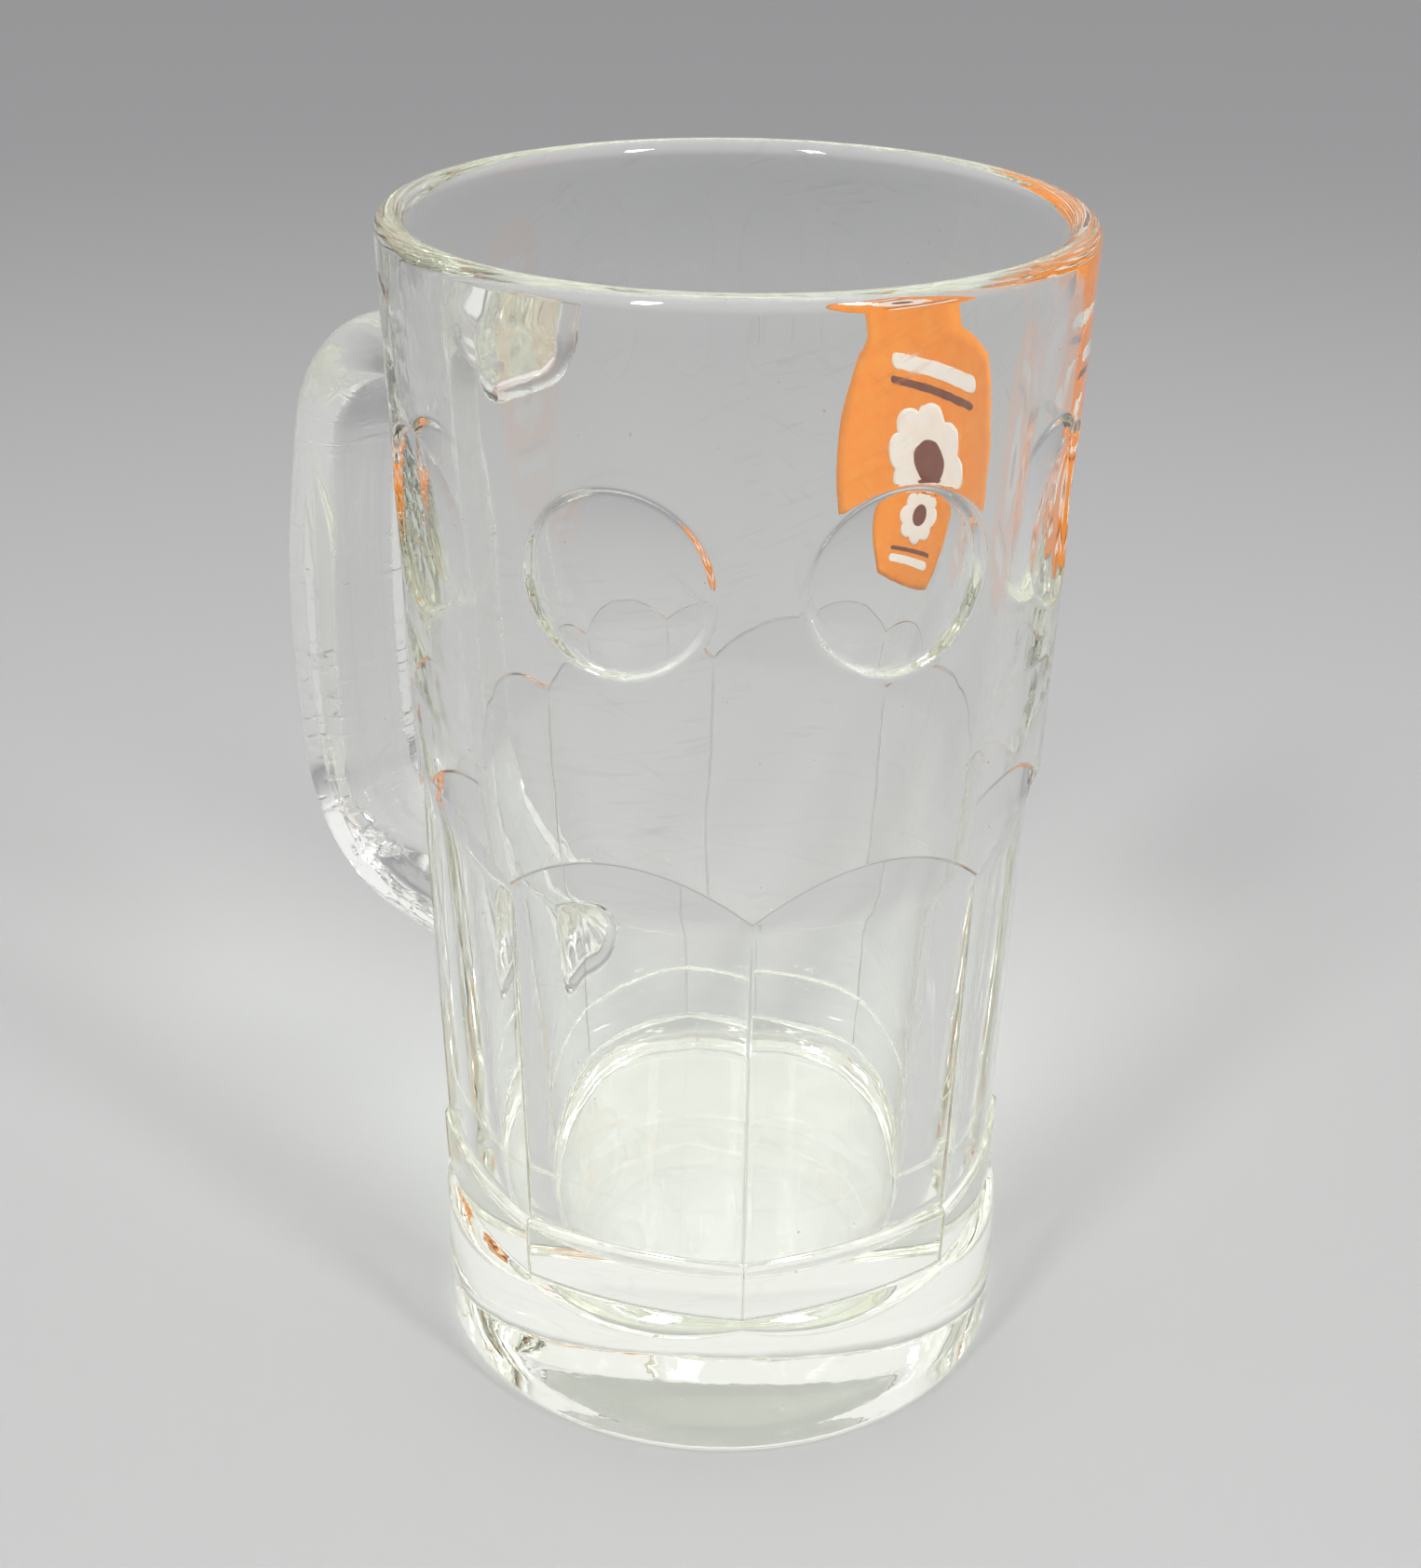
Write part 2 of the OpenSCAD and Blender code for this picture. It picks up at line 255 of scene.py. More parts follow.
@dataclass(frozen=True)
class PressedBody:
    """The mug's body: a thick foot, eight arched panels, a plain upper wall and the well.

    Attributes:
        height: Overall height.
        rim_radius: Outer radius at the rim.
        lip: Thickness of the lip, which is fully round.
        waist_radius: Outer radius across the ridges at the bottom of the panels.
        foot_radius: Radius of the round foot.
        foot_height: Height of the foot.
        foot_round: Radius of the edge round the underside.
        floor: Thickness of the glass under the drink.
        well_radius: Inside radius where the wall would meet the floor.
        well_round: Radius between the inside wall and the floor.
        rest_width: Width of the ring that the mug stands on.
        dish_depth: Depth of the shallow dome under the foot.
        panels: Number of panels.
        panel_depth: How far a panel's middle lies inside the round of the body.
        panel_z: Height at which the panels begin.
        spring_z: Height at which the arches spring from the ridges.
        arch_rise: Rise of an arch.
        band_step: How far the faceted band stands out under the panels.
        groove_depth: Depth of the groove between the band and the foot.
        thumbprints: The hollows in the upper wall.
        columns: Number of points round the mug.
    """

    height: float = CAD_BOX[1].z
    rim_radius: float = -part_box("glass_body")[0].x
    lip: float = 3.8 * MM
    waist_radius: float = 37.55 * MM
    foot_radius: float = 37.85 * MM
    foot_height: float = 22.0 * MM
    foot_round: float = 2.2 * MM
    floor: float = 23.0 * MM
    well_radius: float = 28.0 * MM
    well_round: float = 4.2 * MM
    rest_width: float = 9.4 * MM
    dish_depth: float = 1.2 * MM
    panels: int = 8
    panel_depth: float = 1.15 * MM
    panel_z: float = 29.4 * MM
    spring_z: float = 78.3 * MM
    arch_rise: float = 7.3 * MM
    band_step: float = 0.35 * MM
    groove_depth: float = 0.4 * MM
    thumbprints: Thumbprints = field(default_factory=Thumbprints)
    columns: int = 432

    LEDGE = 0.6 * MM
    GROOVE = 0.7 * MM
    RIDGE_LAND = 0.12 * MM
    FOOT_BEVEL = 0.85
    POLISH = 0.09 * MM
    POLISH_STEPS = np.linspace(-2.0, 2.0, 9)
    CREASE = POLISH / 10.0
    RIDGE_BLEND = 0.07 * MM
    SHOULDER_SHARE = 0.95
    SEAM = 0.15 * MM
    SEAM_HALF = 0.30 * MM
    ARCH_CUT = 0.3 * MM
    ARCH_EDGE = 0.03 * MM
    ARCH_REACH = 11.0 * MM
    ARCH_FOLLOW = 1.5 * MM
    # Width and share of the arches' mark, which roughens them as wear and greys them with painted shade.
    ARCH_WEAR_AND_SHADE = 0.2 * MM
    ARCH_WORN_AND_SHADED = 0.6
    ROUNDS = 4
    CROWDING = 0.75
    ROW_COUNTS = (4, 8, 20, 4, 13, 7, 9, 14, 8, 5, 50, 7)
    DOME_ROWS, RING_ROWS, FOOT_ROWS, LIP_ROWS, WELL_ROWS, CORNER_ROWS, FLOOR_ROWS = 8, 4, 9, 17, 22, 12, 6
    SHOULDER_ROOM, GROOVE_ROOM, STEP_ROOM, BAND_ROOM = 4.2 * MM, 1.6 * MM, 0.6 * MM, 0.5 * MM
    ARCH_BELOW, ARCH_ABOVE, HOLLOW_ROOM = 0.7 * MM, 0.5 * MM, 1.5 * MM
    OUTER_CALM = (20.0 * MM, 8.0 * MM)
    INNER_CALM = (30.0 * MM, 10.0 * MM)
    OUTER_WAVES = ((0.020 * MM, 5, 1.6, 0.4), (0.012 * MM, 11, -2.3, 2.1), (0.006 * MM, 17, 4.7, 1.2))
    INNER_WAVES = ((0.030 * MM, 4, -1.3, 1.0), (0.018 * MM, 9, 2.2, 0.2), (0.008 * MM, 15, -3.9, 2.8))

    @property
    def lip_z(self) -> float:
        """Height of the middle of the lip's round."""
        return self.height - self.lip / 2.0

    @property
    def panel_turn(self) -> float:
        """Angle that one panel takes, in radians."""
        return FULL_TURN / self.panels

    @property
    def groove_z(self) -> float:
        """Height of the groove's lower edge."""
        return self.foot_height - self.GROOVE

    @property
    def ledge_z(self) -> float:
        """Height at which the ledge over the faceted band has run out into the panels."""
        return self.panel_z + self.LEDGE

    @property
    def crown_z(self) -> float:
        """Height of the arches' crowns."""
        return self.spring_z + self.arch_rise

    @property
    def arch_z(self) -> float:
        """Height of the arches' middle."""
        return self.spring_z + self.arch_rise / 2.0

    @property
    def hollow_wall(self) -> float:
        """Outer radius of the plain wall at the thumbprints' middles."""
        return float(self.wall_radius(self.thumbprints.height))

    @property
    def panel_offset(self) -> float:
        """How far a panel's own axis lies behind the mug's axis.

        Returns:
            The distance from which a circle through both ridges passes panel_depth inside the round.
        """
        r = self.wall_radius((self.panel_z + self.spring_z) / 2.0) - self.RIDGE_LAND
        sag = r * (1.0 - np.cos(self.panel_turn / 2.0)) - self.panel_depth
        return self.panel_depth * (2.0 * r - self.panel_depth) / (2.0 * sag)

    def wall_radius(self, z: Array | float) -> Array | float:
        """Outer radius of the plain round body, which widens in a straight line with height."""
        share = (z - self.panel_z) / (self.lip_z - self.panel_z)
        return self.waist_radius + (self.rim_radius - self.waist_radius) * share

    def panel_radius(self, z: Array | float) -> Array | float:
        """Radius of a panel about its own axis, by the law of cosines through the ridge."""
        r, off = self.wall_radius(z) - self.RIDGE_LAND, self.panel_offset
        return np.sqrt(r * r + off * off + 2.0 * r * off * np.cos(self.panel_turn / 2.0))

    def panel_edge(self, z: Array) -> Array:
        """Radius of the space that one panel leaves about its own axis, through all the steps.

        Args:
            z: Height.

        Returns:
            The radius, straight between the corners of the foot's bevel, the groove, the faceted
            band, the ledge and the panel, and leaning out to the body's round above the springing.
        """
        # The first and the last corner lie past all the heights in use.
        band, far, rises = self.band_step, self.height, 9.0
        groove = self.panel_radius(self.foot_height) + band - self.groove_depth
        spring = self.panel_radius(self.spring_z)
        crown = self.wall_radius(self.crown_z) + self.panel_offset
        corners = np.array([
            [self.groove_z - self.FOOT_BEVEL * far, groove + far],
            [self.groove_z, groove],
            [self.foot_height, self.panel_radius(self.foot_height) + band],
            [self.panel_z, self.panel_radius(self.panel_z) + band],
            [self.ledge_z, self.panel_radius(self.ledge_z)],
            [self.spring_z, spring],
            [self.spring_z + rises * self.arch_rise, spring + rises * (crown - spring)],
        ])
        return np.interp(z, corners[:, 0], corners[:, 1])

    def off_middle(self, theta: Array) -> Array:
        """Angle from the nearest panel's middle, in radians."""
        return np.abs((theta % self.panel_turn) - self.panel_turn / 2.0)

    def arch_height(self, theta: Array) -> Array:
        """Height of the arches' edge in each direction.

        There the panel's radius, which leans out evenly above the springing, reaches the body's
        round r: P^2 = r^2 + e^2 + 2 r e cos(d), with e the panel's offset and d the angle from its
        middle. As r changes little with height, a few rounds of substitution give the height.

        Args:
            theta: Angle about the axis, in radians.

        Returns:
            The height.
        """
        off, e = self.off_middle(theta), self.panel_offset
        spring, crown = self.panel_radius(self.spring_z), self.wall_radius(self.crown_z) + e
        height = np.full_like(off, self.crown_z)
        for _ in range(self.ROUNDS):
            r = self.wall_radius(height)
            reached = np.sqrt(r * r + e * e + 2.0 * r * e * np.cos(off))
            height = self.spring_z + self.arch_rise * (reached - spring) / (crown - spring)
        return height

    def seam(self, off: Array, z: Array) -> Array:
        """Share of the fine seam that the mould leaves along each ridge, up to the springing.

        Args:
            off: Angle from the nearest panel's middle, in radians.
            z: Height.

        Returns:
            A round bead, cos^2(pi d / 2 w), where d is the distance from the ridge.
        """
        away = self.waist_radius * (self.panel_turn / 2.0 - off) / self.SEAM_HALF
        ends = smooth_step((z - self.foot_height + self.LEDGE) / self.LEDGE)
        ends = ends * smooth_step((self.spring_z + self.arch_rise / 4.0 - z) / self.arch_rise)
        return ends * np.cos(np.pi / 2.0 * np.clip(away, 0.0, 1.0)) ** 2

    def edge_wear_and_shade(self, theta: Array, z: Array) -> Array:
        """Mask of edge wear and painted shade: whole along the seams, and a bell, exp(-(h / w)^2), across the
        arches.
        """
        arch = np.exp(-(((z - self.arch_height(theta)) / self.ARCH_WEAR_AND_SHADE) ** 2))
        return np.maximum(self.seam(self.off_middle(theta), z), self.ARCH_WORN_AND_SHADED * arch)

    def faceted_radius(self, off: Array, z: Array) -> Array:
        """Distance of the panels' surface from the axis, with the neighbours met in a ridge.

        One panel's surface lies at -e cos(d) + sqrt(P^2 - e^2 sin^2(d)), where P is its radius at that
        height, e its offset, and d the angle from its middle.

        Args:
            off: Angle from the nearest panel's middle, in radians.
            z: Height.

        Returns:
            The distance.
        """
        edge, e = self.panel_edge(z), self.panel_offset
        angles = (off, self.panel_turn - off)
        near, far = (np.sqrt(edge**2 - (e * np.sin(d)) ** 2) - e * np.cos(d) for d in angles)
        return soft_min(near, far, self.RIDGE_BLEND)

    def moulded_radius(self, theta: Array, z: Array) -> Array:
        """Distance of the outer surface from the axis, before the edges are fire-polished.

        It is the lower of the round outline and the panels' surface, with a small step down into the
        arches and a fine seam on the ridges. Below the groove the two are blended over most of the
        groove's own depth, which makes the foot's shoulder one even round.

        Args:
            theta: Angle about the axis, in radians.
            z: Height.

        Returns:
            The distance.
        """
        off = self.off_middle(theta)
        panel = self.faceted_radius(off, z)
        sunk = self.foot_radius - self.faceted_radius(off, np.full_like(z, self.groove_z))
        shoulder = np.where(z < self.groove_z, self.SHOULDER_SHARE * np.maximum(sunk, 0.0), 0.0)
        plain = np.where(z < self.ledge_z, self.waist_radius + self.band_step, self.wall_radius(z))
        plain = np.where(z < self.foot_height, self.foot_radius, plain)
        cut = np.where(z > self.ledge_z, self.ARCH_CUT, 0.0)
        step = cut * smooth_step((plain - panel) / self.ARCH_EDGE)
        return soft_min(plain, panel, shoulder + self.CREASE) - step + self.SEAM * self.seam(off, z)

    def outer_radius(self, theta: Array, z: Array) -> Array:
        """Distance of the finished outer surface from the axis.

        Fire polishing rounds every step, so the moulded distance is averaged over a few heights
        close by, with weights that fall off like a bell. Then come faint waves and the thumbprints.

        Args:
            theta: Angle about the axis, in radians.
            z: Height.

        Returns:
            The distance.
        """
        steps = self.POLISH_STEPS
        weights = np.exp(-0.5 * steps**2)
        weights /= weights.sum()
        radius = sum(w * self.moulded_radius(theta, z + s * self.POLISH) for w, s in zip(weights, steps))
        calm = self.calm(z, self.foot_height, self.OUTER_CALM)
        radius = radius + calm * self.waves(theta, z, self.OUTER_WAVES)
        lean = float(np.arctan((self.rim_radius - self.waist_radius) / (self.lip_z - self.panel_z)))
        return self.thumbprints.press(radius, theta, z, self.hollow_wall, lean)

    def outer_heights(self) -> Array:
        """Spaces the rows up the outer wall, close together where the surface turns.

        Returns:
            The heights of the rows, even between one stop and the next.
        """
        groove, arch, reach = self.groove_z, self.arch_z, self.ARCH_REACH
        hollow, past = self.thumbprints.height, self.thumbprints.radius + self.HOLLOW_ROOM
        stops = [
            self.foot_round,
            groove - self.SHOULDER_ROOM, groove - self.GROOVE_ROOM, self.foot_height + self.STEP_ROOM,
            self.panel_z - self.BAND_ROOM, self.ledge_z + self.STEP_ROOM,
            arch - reach, arch - self.ARCH_BELOW, arch + self.ARCH_ABOVE, arch + reach,
            hollow - past, hollow + past, self.lip_z,
        ]
        spans = zip(stops, stops[1:], self.ROW_COUNTS)
        return np.concatenate([np.linspace(low, high, count, endpoint=False) for low, high, count in spans])

    def underside(self) -> Array:
        """Follows the foot from under its shallow dome, over the standing ring, to its side.

        The dome's height falls off with the square of the distance from the axis.

        Returns:
            Points (distance, height) of the profile.
        """
        inner = self.foot_radius - self.foot_round
        ring = inner - self.rest_width
        across = np.linspace(0.0, 1.0, self.DOME_ROWS, endpoint=False)
        dome = np.stack([ring * across, self.dish_depth * (1.0 - across**2)], axis=-1)
        return np.concatenate([
            dome,
            line((ring, 0.0), (inner, 0.0), self.RING_ROWS),
            arc((inner, self.foot_round), self.foot_round, -90.0, 0.0, self.FOOT_ROWS)[:-1],
        ])

    def inside(self) -> Array:
        """Follows the inside from the outside of the lip, down the well, to the middle of the floor.

        Returns:
            Points (distance, height) of the profile: a half round, a straight wall, a quarter round
            and the floor.
        """
        slope = (self.rim_radius - self.lip - self.well_radius) / (self.lip_z - self.floor)
        lean = np.hypot(1.0, slope)
        corner_z = self.floor + self.well_round
        corner_r = self.well_radius + slope * self.well_round - self.well_round * lean
        half = self.lip / 2.0
        lip = arc((self.rim_radius - half, self.lip_z), half, 0.0, 180.0, self.LIP_ROWS)
        low = -np.degrees(np.arctan(slope))
        corner = arc((corner_r, corner_z), self.well_round, low, -90.0, self.CORNER_ROWS)
        return np.concatenate([
            lip[:-1],
            line(lip[-1], corner[0], self.WELL_ROWS),
            corner,
            line((corner_r, self.floor), (0.0, self.floor), self.FLOOR_ROWS)[1:],
            [[0.0, self.floor]],
        ])

    def waves(self, theta: Array, z: Array, table: Sequence[tuple[float, ...]]) -> Array:
        """Faint waves: a sum of h sin(n theta + 2 pi up z / H + p) over a table of h, n, up and p."""
        return sum(h * np.sin(n * theta + FULL_TURN * up * z / self.height + p) for h, n, up, p in table)

    def calm(self, z: Array, start: float, fades: tuple[float, float]) -> Array:
        """Share of the waves at a height, which fades in from a start and out towards the lip."""
        return smooth_step((z - start) / fades[0]) * smooth_step((self.lip_z - z) / fades[1])

    def surface(self) -> tuple[Array, Array]:
        """Works out the whole closed surface, row by row from under the foot to the well's floor.

        Below the arches the columns stand closer together at the ridges: each one's angle t is taken
        down by a share of sin(8 t) / 8, which is steepest there. The rows near the arches rise and
        fall with them, and rows and columns are drawn in towards the hollows' edges. The inside
        wall carries faint waves.

        Returns:
            A grid of points with shape (rows, columns, 3), and the mask of edge wear and painted shade at
            each of them.
        """
        turn = np.arange(self.columns)[None, :] * FULL_TURN / self.columns
        crowded = np.sin(self.panels * turn) / self.panels
        rows, reach, follow_from = self.outer_heights()[:, None], self.ARCH_REACH, self.ARCH_FOLLOW
        loose = smooth_step((rows - self.arch_z) / (2.0 * reach))
        theta = turn - self.CROWDING * (1.0 - loose) * crowded
        follow = 1.0 - smooth_step((np.abs(rows - self.arch_z) - follow_from) / (reach - follow_from))
        z = rows + follow * (self.arch_height(theta) - self.arch_z)
        theta, z = self.thumbprints.draw_in(theta, z, self.hollow_wall)
        under_r, under_z = np.hsplit(self.underside(), 2)
        inner_r, inner_z = np.hsplit(self.inside(), 2)
        calm = self.calm(inner_z, self.floor, self.INNER_CALM)
        stretches = [
            (under_r, turn - self.CROWDING * crowded, under_z, 0.0),
            (self.outer_radius(theta, z), theta, z, self.edge_wear_and_shade(theta, z)),
            (inner_r + calm * self.waves(turn, inner_z, self.INNER_WAVES), turn, inner_z, 0.0),
        ]
        grid = np.concatenate([
            np.stack(np.broadcast_arrays(r * np.cos(a), r * np.sin(a), h, worn_and_shaded), axis=-1)
            for r, a, h, worn_and_shaded in stretches
        ])
        return grid[..., :3], grid[..., 3]

    def build(self) -> Object:
        """Makes the body and hides the imported solid.

        Returns:
            The body.
        """
        grid, wear = self.surface()
        # The attribute marks the seams and arches, which the glass roughens as wear and greys with painted
        # shade.
        body = closed_surface("pressed_body", grid, **{EDGE_WEAR_AND_SHADE: wear})
        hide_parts("glass_body")
        return body

    def wall_x(self, y: Array, z: Array) -> Array:
        """Distance of the outer wall along +X at a place beside the handle's middle plane.

        Args:
            y: Distance to the side.
            z: Height.

        Returns:
            The distance x at which x^2 + y^2 is the square of the outer radius.
        """
        x = self.wall_radius(z) + 0.0 * y
        for _ in range(self.ROUNDS):
            x = np.sqrt(self.outer_radius(np.arctan2(y, x), z) ** 2 - y * y)
        return x


@dataclass(frozen=True)
class BowedHandle:
    """The solid glass handle, a rounded bar that leaves the wall, bows round and comes back.

    Attributes:
        body: The body that it grows from.
        reach: Distance from the mug's axis to the outside of the grip.
        width: Width of the bar across the hand.
        thick: Thickness of the bar at the grip's middle.
        edge: Radius of the bar's long edges.
        upper_z: Height at which the upper arm's middle meets the wall.
        lower_z: Height at which the lower arm's middle meets the wall.
        upper_bend: Bend radius between the upper arm and the grip.
        lower_bend: Bend radius between the grip and the lower arm.
        upper_fall: Fall of the upper arm, in degrees.
        lower_rise: Rise of the lower arm, in degrees.
        upper_lean: Lean of the grip's upper end from upright, in degrees.
        lower_lean: Lean of the grip's lower end from upright, in degrees.
        upper_thick: Thickness of the upper arm and its bend.
        lower_thick: Thickness of the lower arm at the wall.
        root: Radius of the fillet where an arm runs into the wall.
        bite: How far the bar runs on inside the wall.
    """

    body: PressedBody
    reach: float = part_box("handle")[1].x
    width: float = 16.4 * MM
    thick: float = 11.0 * MM
    edge: float = 3.8 * MM
    upper_z: float = 127.2 * MM
    lower_z: float = 43.6 * MM
    upper_bend: float = 18.0 * MM
    lower_bend: float = 16.5 * MM
    upper_fall: float = 3.0
    lower_rise: float = 9.5
    upper_lean: float = 10.0
    lower_lean: float = 8.0
    upper_thick: float = 8.8 * MM
    lower_thick: float = 12.6 * MM
    root: float = 2.4 * MM
    bite: float = 0.3 * MM

    SIDE_POINTS = 9
    BEND_ROWS, BOW_ROWS, CAP_ROWS, FILLET_ROWS = 28, 16, 6, 10
    ROUNDS = 5

    def section(self, thick: float, spread: float = 0.0) -> Array:
        """Points round the bar: a rectangle with round corners, widened all round by a spread.

        Args:
            thick: Thickness of the bar there.
            spread: How far the outline is widened.

        Returns:
            Points (out, side) with out towards the outside of the handle.
        """
        out, side, r = thick / 2.0 - self.edge, self.width / 2.0 - self.edge, self.edge + spread
        middles, count = ((out, side), (-out, side), (-out, -side), (out, -side)), self.SIDE_POINTS
        corners = [arc(middle, r, 90.0 * k, 90.0 * (k + 1), count) for k, middle in enumerate(middles)]
        parts = []
        for corner, after in zip(corners, corners[1:] + corners[:1]):
            parts += [corner[:-1], line(corner[-1], after[0], count)]
        return np.concatenate(parts)

    def wall_at(self, z: float) -> float:
        """Distance of the wall from the axis at a height, in the handle's middle plane."""
        return self.body.wall_x(np.zeros(1), np.full(1, z))[0]

    def path(self) -> tuple[Array, Array, Array]:
        """Follows the middle of the bar from wall to wall.

        The path is an arm, a bend, a long bow, a bend and an arm. The bow's radius and the arms'
        lengths are what closes the path: each arc moves the point by
        R (sin a - sin b, cos b - cos a) as its heading turns from a down to b.

        Returns:
            Middles (x, z), headings in radians and thicknesses.
        """
        h = np.radians([-self.upper_fall, self.upper_lean - 90.0,
                        -self.lower_lean - 90.0, self.lower_rise - 180.0])

        def step(a: Array | float, b: Array | float) -> Array:
            """Move of the point along an arc of radius 1 from heading a down to heading b."""
            return np.stack([np.sin(a) - np.sin(b), np.cos(b) - np.cos(a)], axis=-1)

        start, finish = (np.array([self.wall_at(z), z]) for z in (self.upper_z, self.lower_z))
        grip = self.reach - self.thick / 2.0
        upper, lower = self.upper_bend * step(h[0], h[1]), self.lower_bend * step(h[2], h[3])
        bow = step(h[1], h[2])
        upper_run, lower_run = grip - start[0] - upper[0], finish[0] - grip - lower[0]
        upper_gain, lower_gain = 1.0 + np.sin(h[1]), 1.0 + np.sin(h[2])
        drop = finish[1] - start[1] - upper[1] - lower[1]
        drop = drop - np.tan(h[0]) * upper_run - np.tan(h[3]) * lower_run
        radius = drop / (bow[1] - np.tan(h[0]) * upper_gain + np.tan(h[3]) * lower_gain)
        arm = (upper_run - radius * upper_gain) / np.cos(h[0])
        middle = (h[1] + h[2]) / 2.0
        point = start + arm * np.array([np.cos(h[0]), np.sin(h[0])])
        points, headings, thick = [point[None]], [h[:1]], [np.array([self.upper_thick])]
        stretches = [
            (h[0], h[1], self.upper_bend, self.upper_thick, self.upper_thick, self.BEND_ROWS),
            (h[1], middle, radius, self.upper_thick, self.thick, self.BOW_ROWS),
            (middle, h[2], radius, self.thick, self.thick, self.BOW_ROWS),
            (h[2], h[3], self.lower_bend, self.thick, self.lower_thick, self.BEND_ROWS),
        ]
        for a, b, r, thin, wide, count in stretches:
            share = np.arange(1, count + 1) / count
            turned = a + (b - a) * share
            points.append(point + r * step(a, turned))
            headings.append(turned)
            thick.append(thin + (wide - thin) * (1.0 - np.cos(np.pi * share)) / 2.0)
            point = points[-1][-1]
        return np.concatenate(points), np.concatenate(headings), np.concatenate(thick)

    def root_ring(self, z: float, heading: float, away: float, outline: Array, lift: float) -> Array:
        """Lays a section on the wall where an arm meets it, lifted off by a distance.

        Each point starts on the arm's own plane and slides along the arm until it meets the wall:
        the run t solves x + t cos(h) = wall(y, z + t sin(h)), by a few rounds of substitution.

        Args:
            z: Height at which the arm's middle meets the wall.
            heading: Heading of the arm, in radians.
            away: 1 where the arm leaves the wall, -1 where it comes back to it.
            outline: Points (out, side) of the section.
            lift: Distance off the wall, along the arm.

        Returns:
            Points with shape (columns, 3).
        """
        x0 = self.wall_at(z) - np.sin(heading) * outline[:, 0]
        z0 = z + np.cos(heading) * outline[:, 0]
        along = away * np.array([np.cos(heading), np.sin(heading)])
        run = np.zeros(len(outline))
        for _ in range(self.ROUNDS):
            run = (self.body.wall_x(outline[:, 1], z0 + run * along[1]) - x0) / along[0]
        run = run + lift
        return np.stack([x0 + run * along[0], outline[:, 1], z0 + run * along[1]], axis=-1)

    def root_rings(self, z: float, heading: float, away: float, thick: float) -> list[Array]:
        """Gives the rings of one root, from the middle of its cap inside the wall up its fillet.

        Args:
            z: Height at which the arm's middle meets the wall.
            heading: Heading of the arm, in radians.
            away: 1 where the arm leaves the wall, -1 where it comes back to it.
            thick: Thickness of the arm.

        Returns:
            The rings, each with shape (columns, 3).
        """
        wide = self.section(thick, self.root)
        stages = [(share * wide, -self.bite) for share in np.linspace(0.0, 1.0, self.CAP_ROWS)]
        for a in np.radians(np.linspace(0.0, 90.0, self.FILLET_ROWS)):
            stages.append((self.section(thick, self.root * (1.0 - np.sin(a))), self.root * (1.0 - np.cos(a))))
        return [self.root_ring(z, heading, away, outline, lift) for outline, lift in stages]

    def surface(self) -> Array:
        """Carries the section along the path, with a flared root at each end.

        Returns:
            A grid of points with shape (rows, columns, 3).
        """
        points, headings, thick = self.path()
        rings = self.root_rings(self.upper_z, headings[0], 1.0, self.upper_thick)
        for p, h, t in zip(points, headings, thick):
            s = self.section(float(t))
            rings.append(np.stack([p[0] - np.sin(h) * s[:, 0], s[:, 1], p[1] + np.cos(h) * s[:, 0]], axis=-1))
        rings += self.root_rings(self.lower_z, headings[-1], -1.0, self.lower_thick)[::-1]
        return np.stack(rings)

    def build(self) -> Object:
        """Makes the handle and hides the imported solid.

        Returns:
            The handle.
        """
        handle = closed_surface("bowed_handle", self.surface())
        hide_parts("handle")
        return handle


@dataclass(frozen=True)
class Figure:
    """One figure of the print, made of discs and drawn outwards from its own middle.

    Attributes:
        discs: Radius and middle of each disc.
        pick: np.max for all the discs together, np.min for their overlap.
        bar: Half the length and the width of a rectangle between the discs, where there is one.
        up: Height of the figure's middle above the print's.
    """

    discs: Sequence[Vector3]
    pick: Callable[..., Array] = np.max
    bar: tuple[float, float] | None = None
    up: float = 0.0

    TINY = 1e-9

    def reach(self, angle: Array) -> Array:
        """Works out the distance from the middle to the outline.

        Along a direction u, the far side of a disc lies at u . c + sqrt((u . c)^2 - |c|^2 + r^2), or
        at 0 where the direction misses it, and the rectangle's at a / |cos| or b / |sin|.

        Args:
            angle: Directions, in radians.

        Returns:
            The distance in each direction.
        """
        c, s = np.cos(angle), np.sin(angle)
        reaches = []
        for radius, x, y in self.discs:
            along = c * x + s * y
            room = along**2 - x**2 - y**2 + radius**2
            reaches.append(np.where(room > 0.0, along + np.sqrt(np.maximum(room, 0.0)), 0.0))
        if self.bar:
            sides = [half / np.maximum(np.abs(part), self.TINY) for half, part in zip(self.bar, (c, s))]
            reaches.append(np.min(sides, axis=0))
        return self.pick(reaches, axis=0)


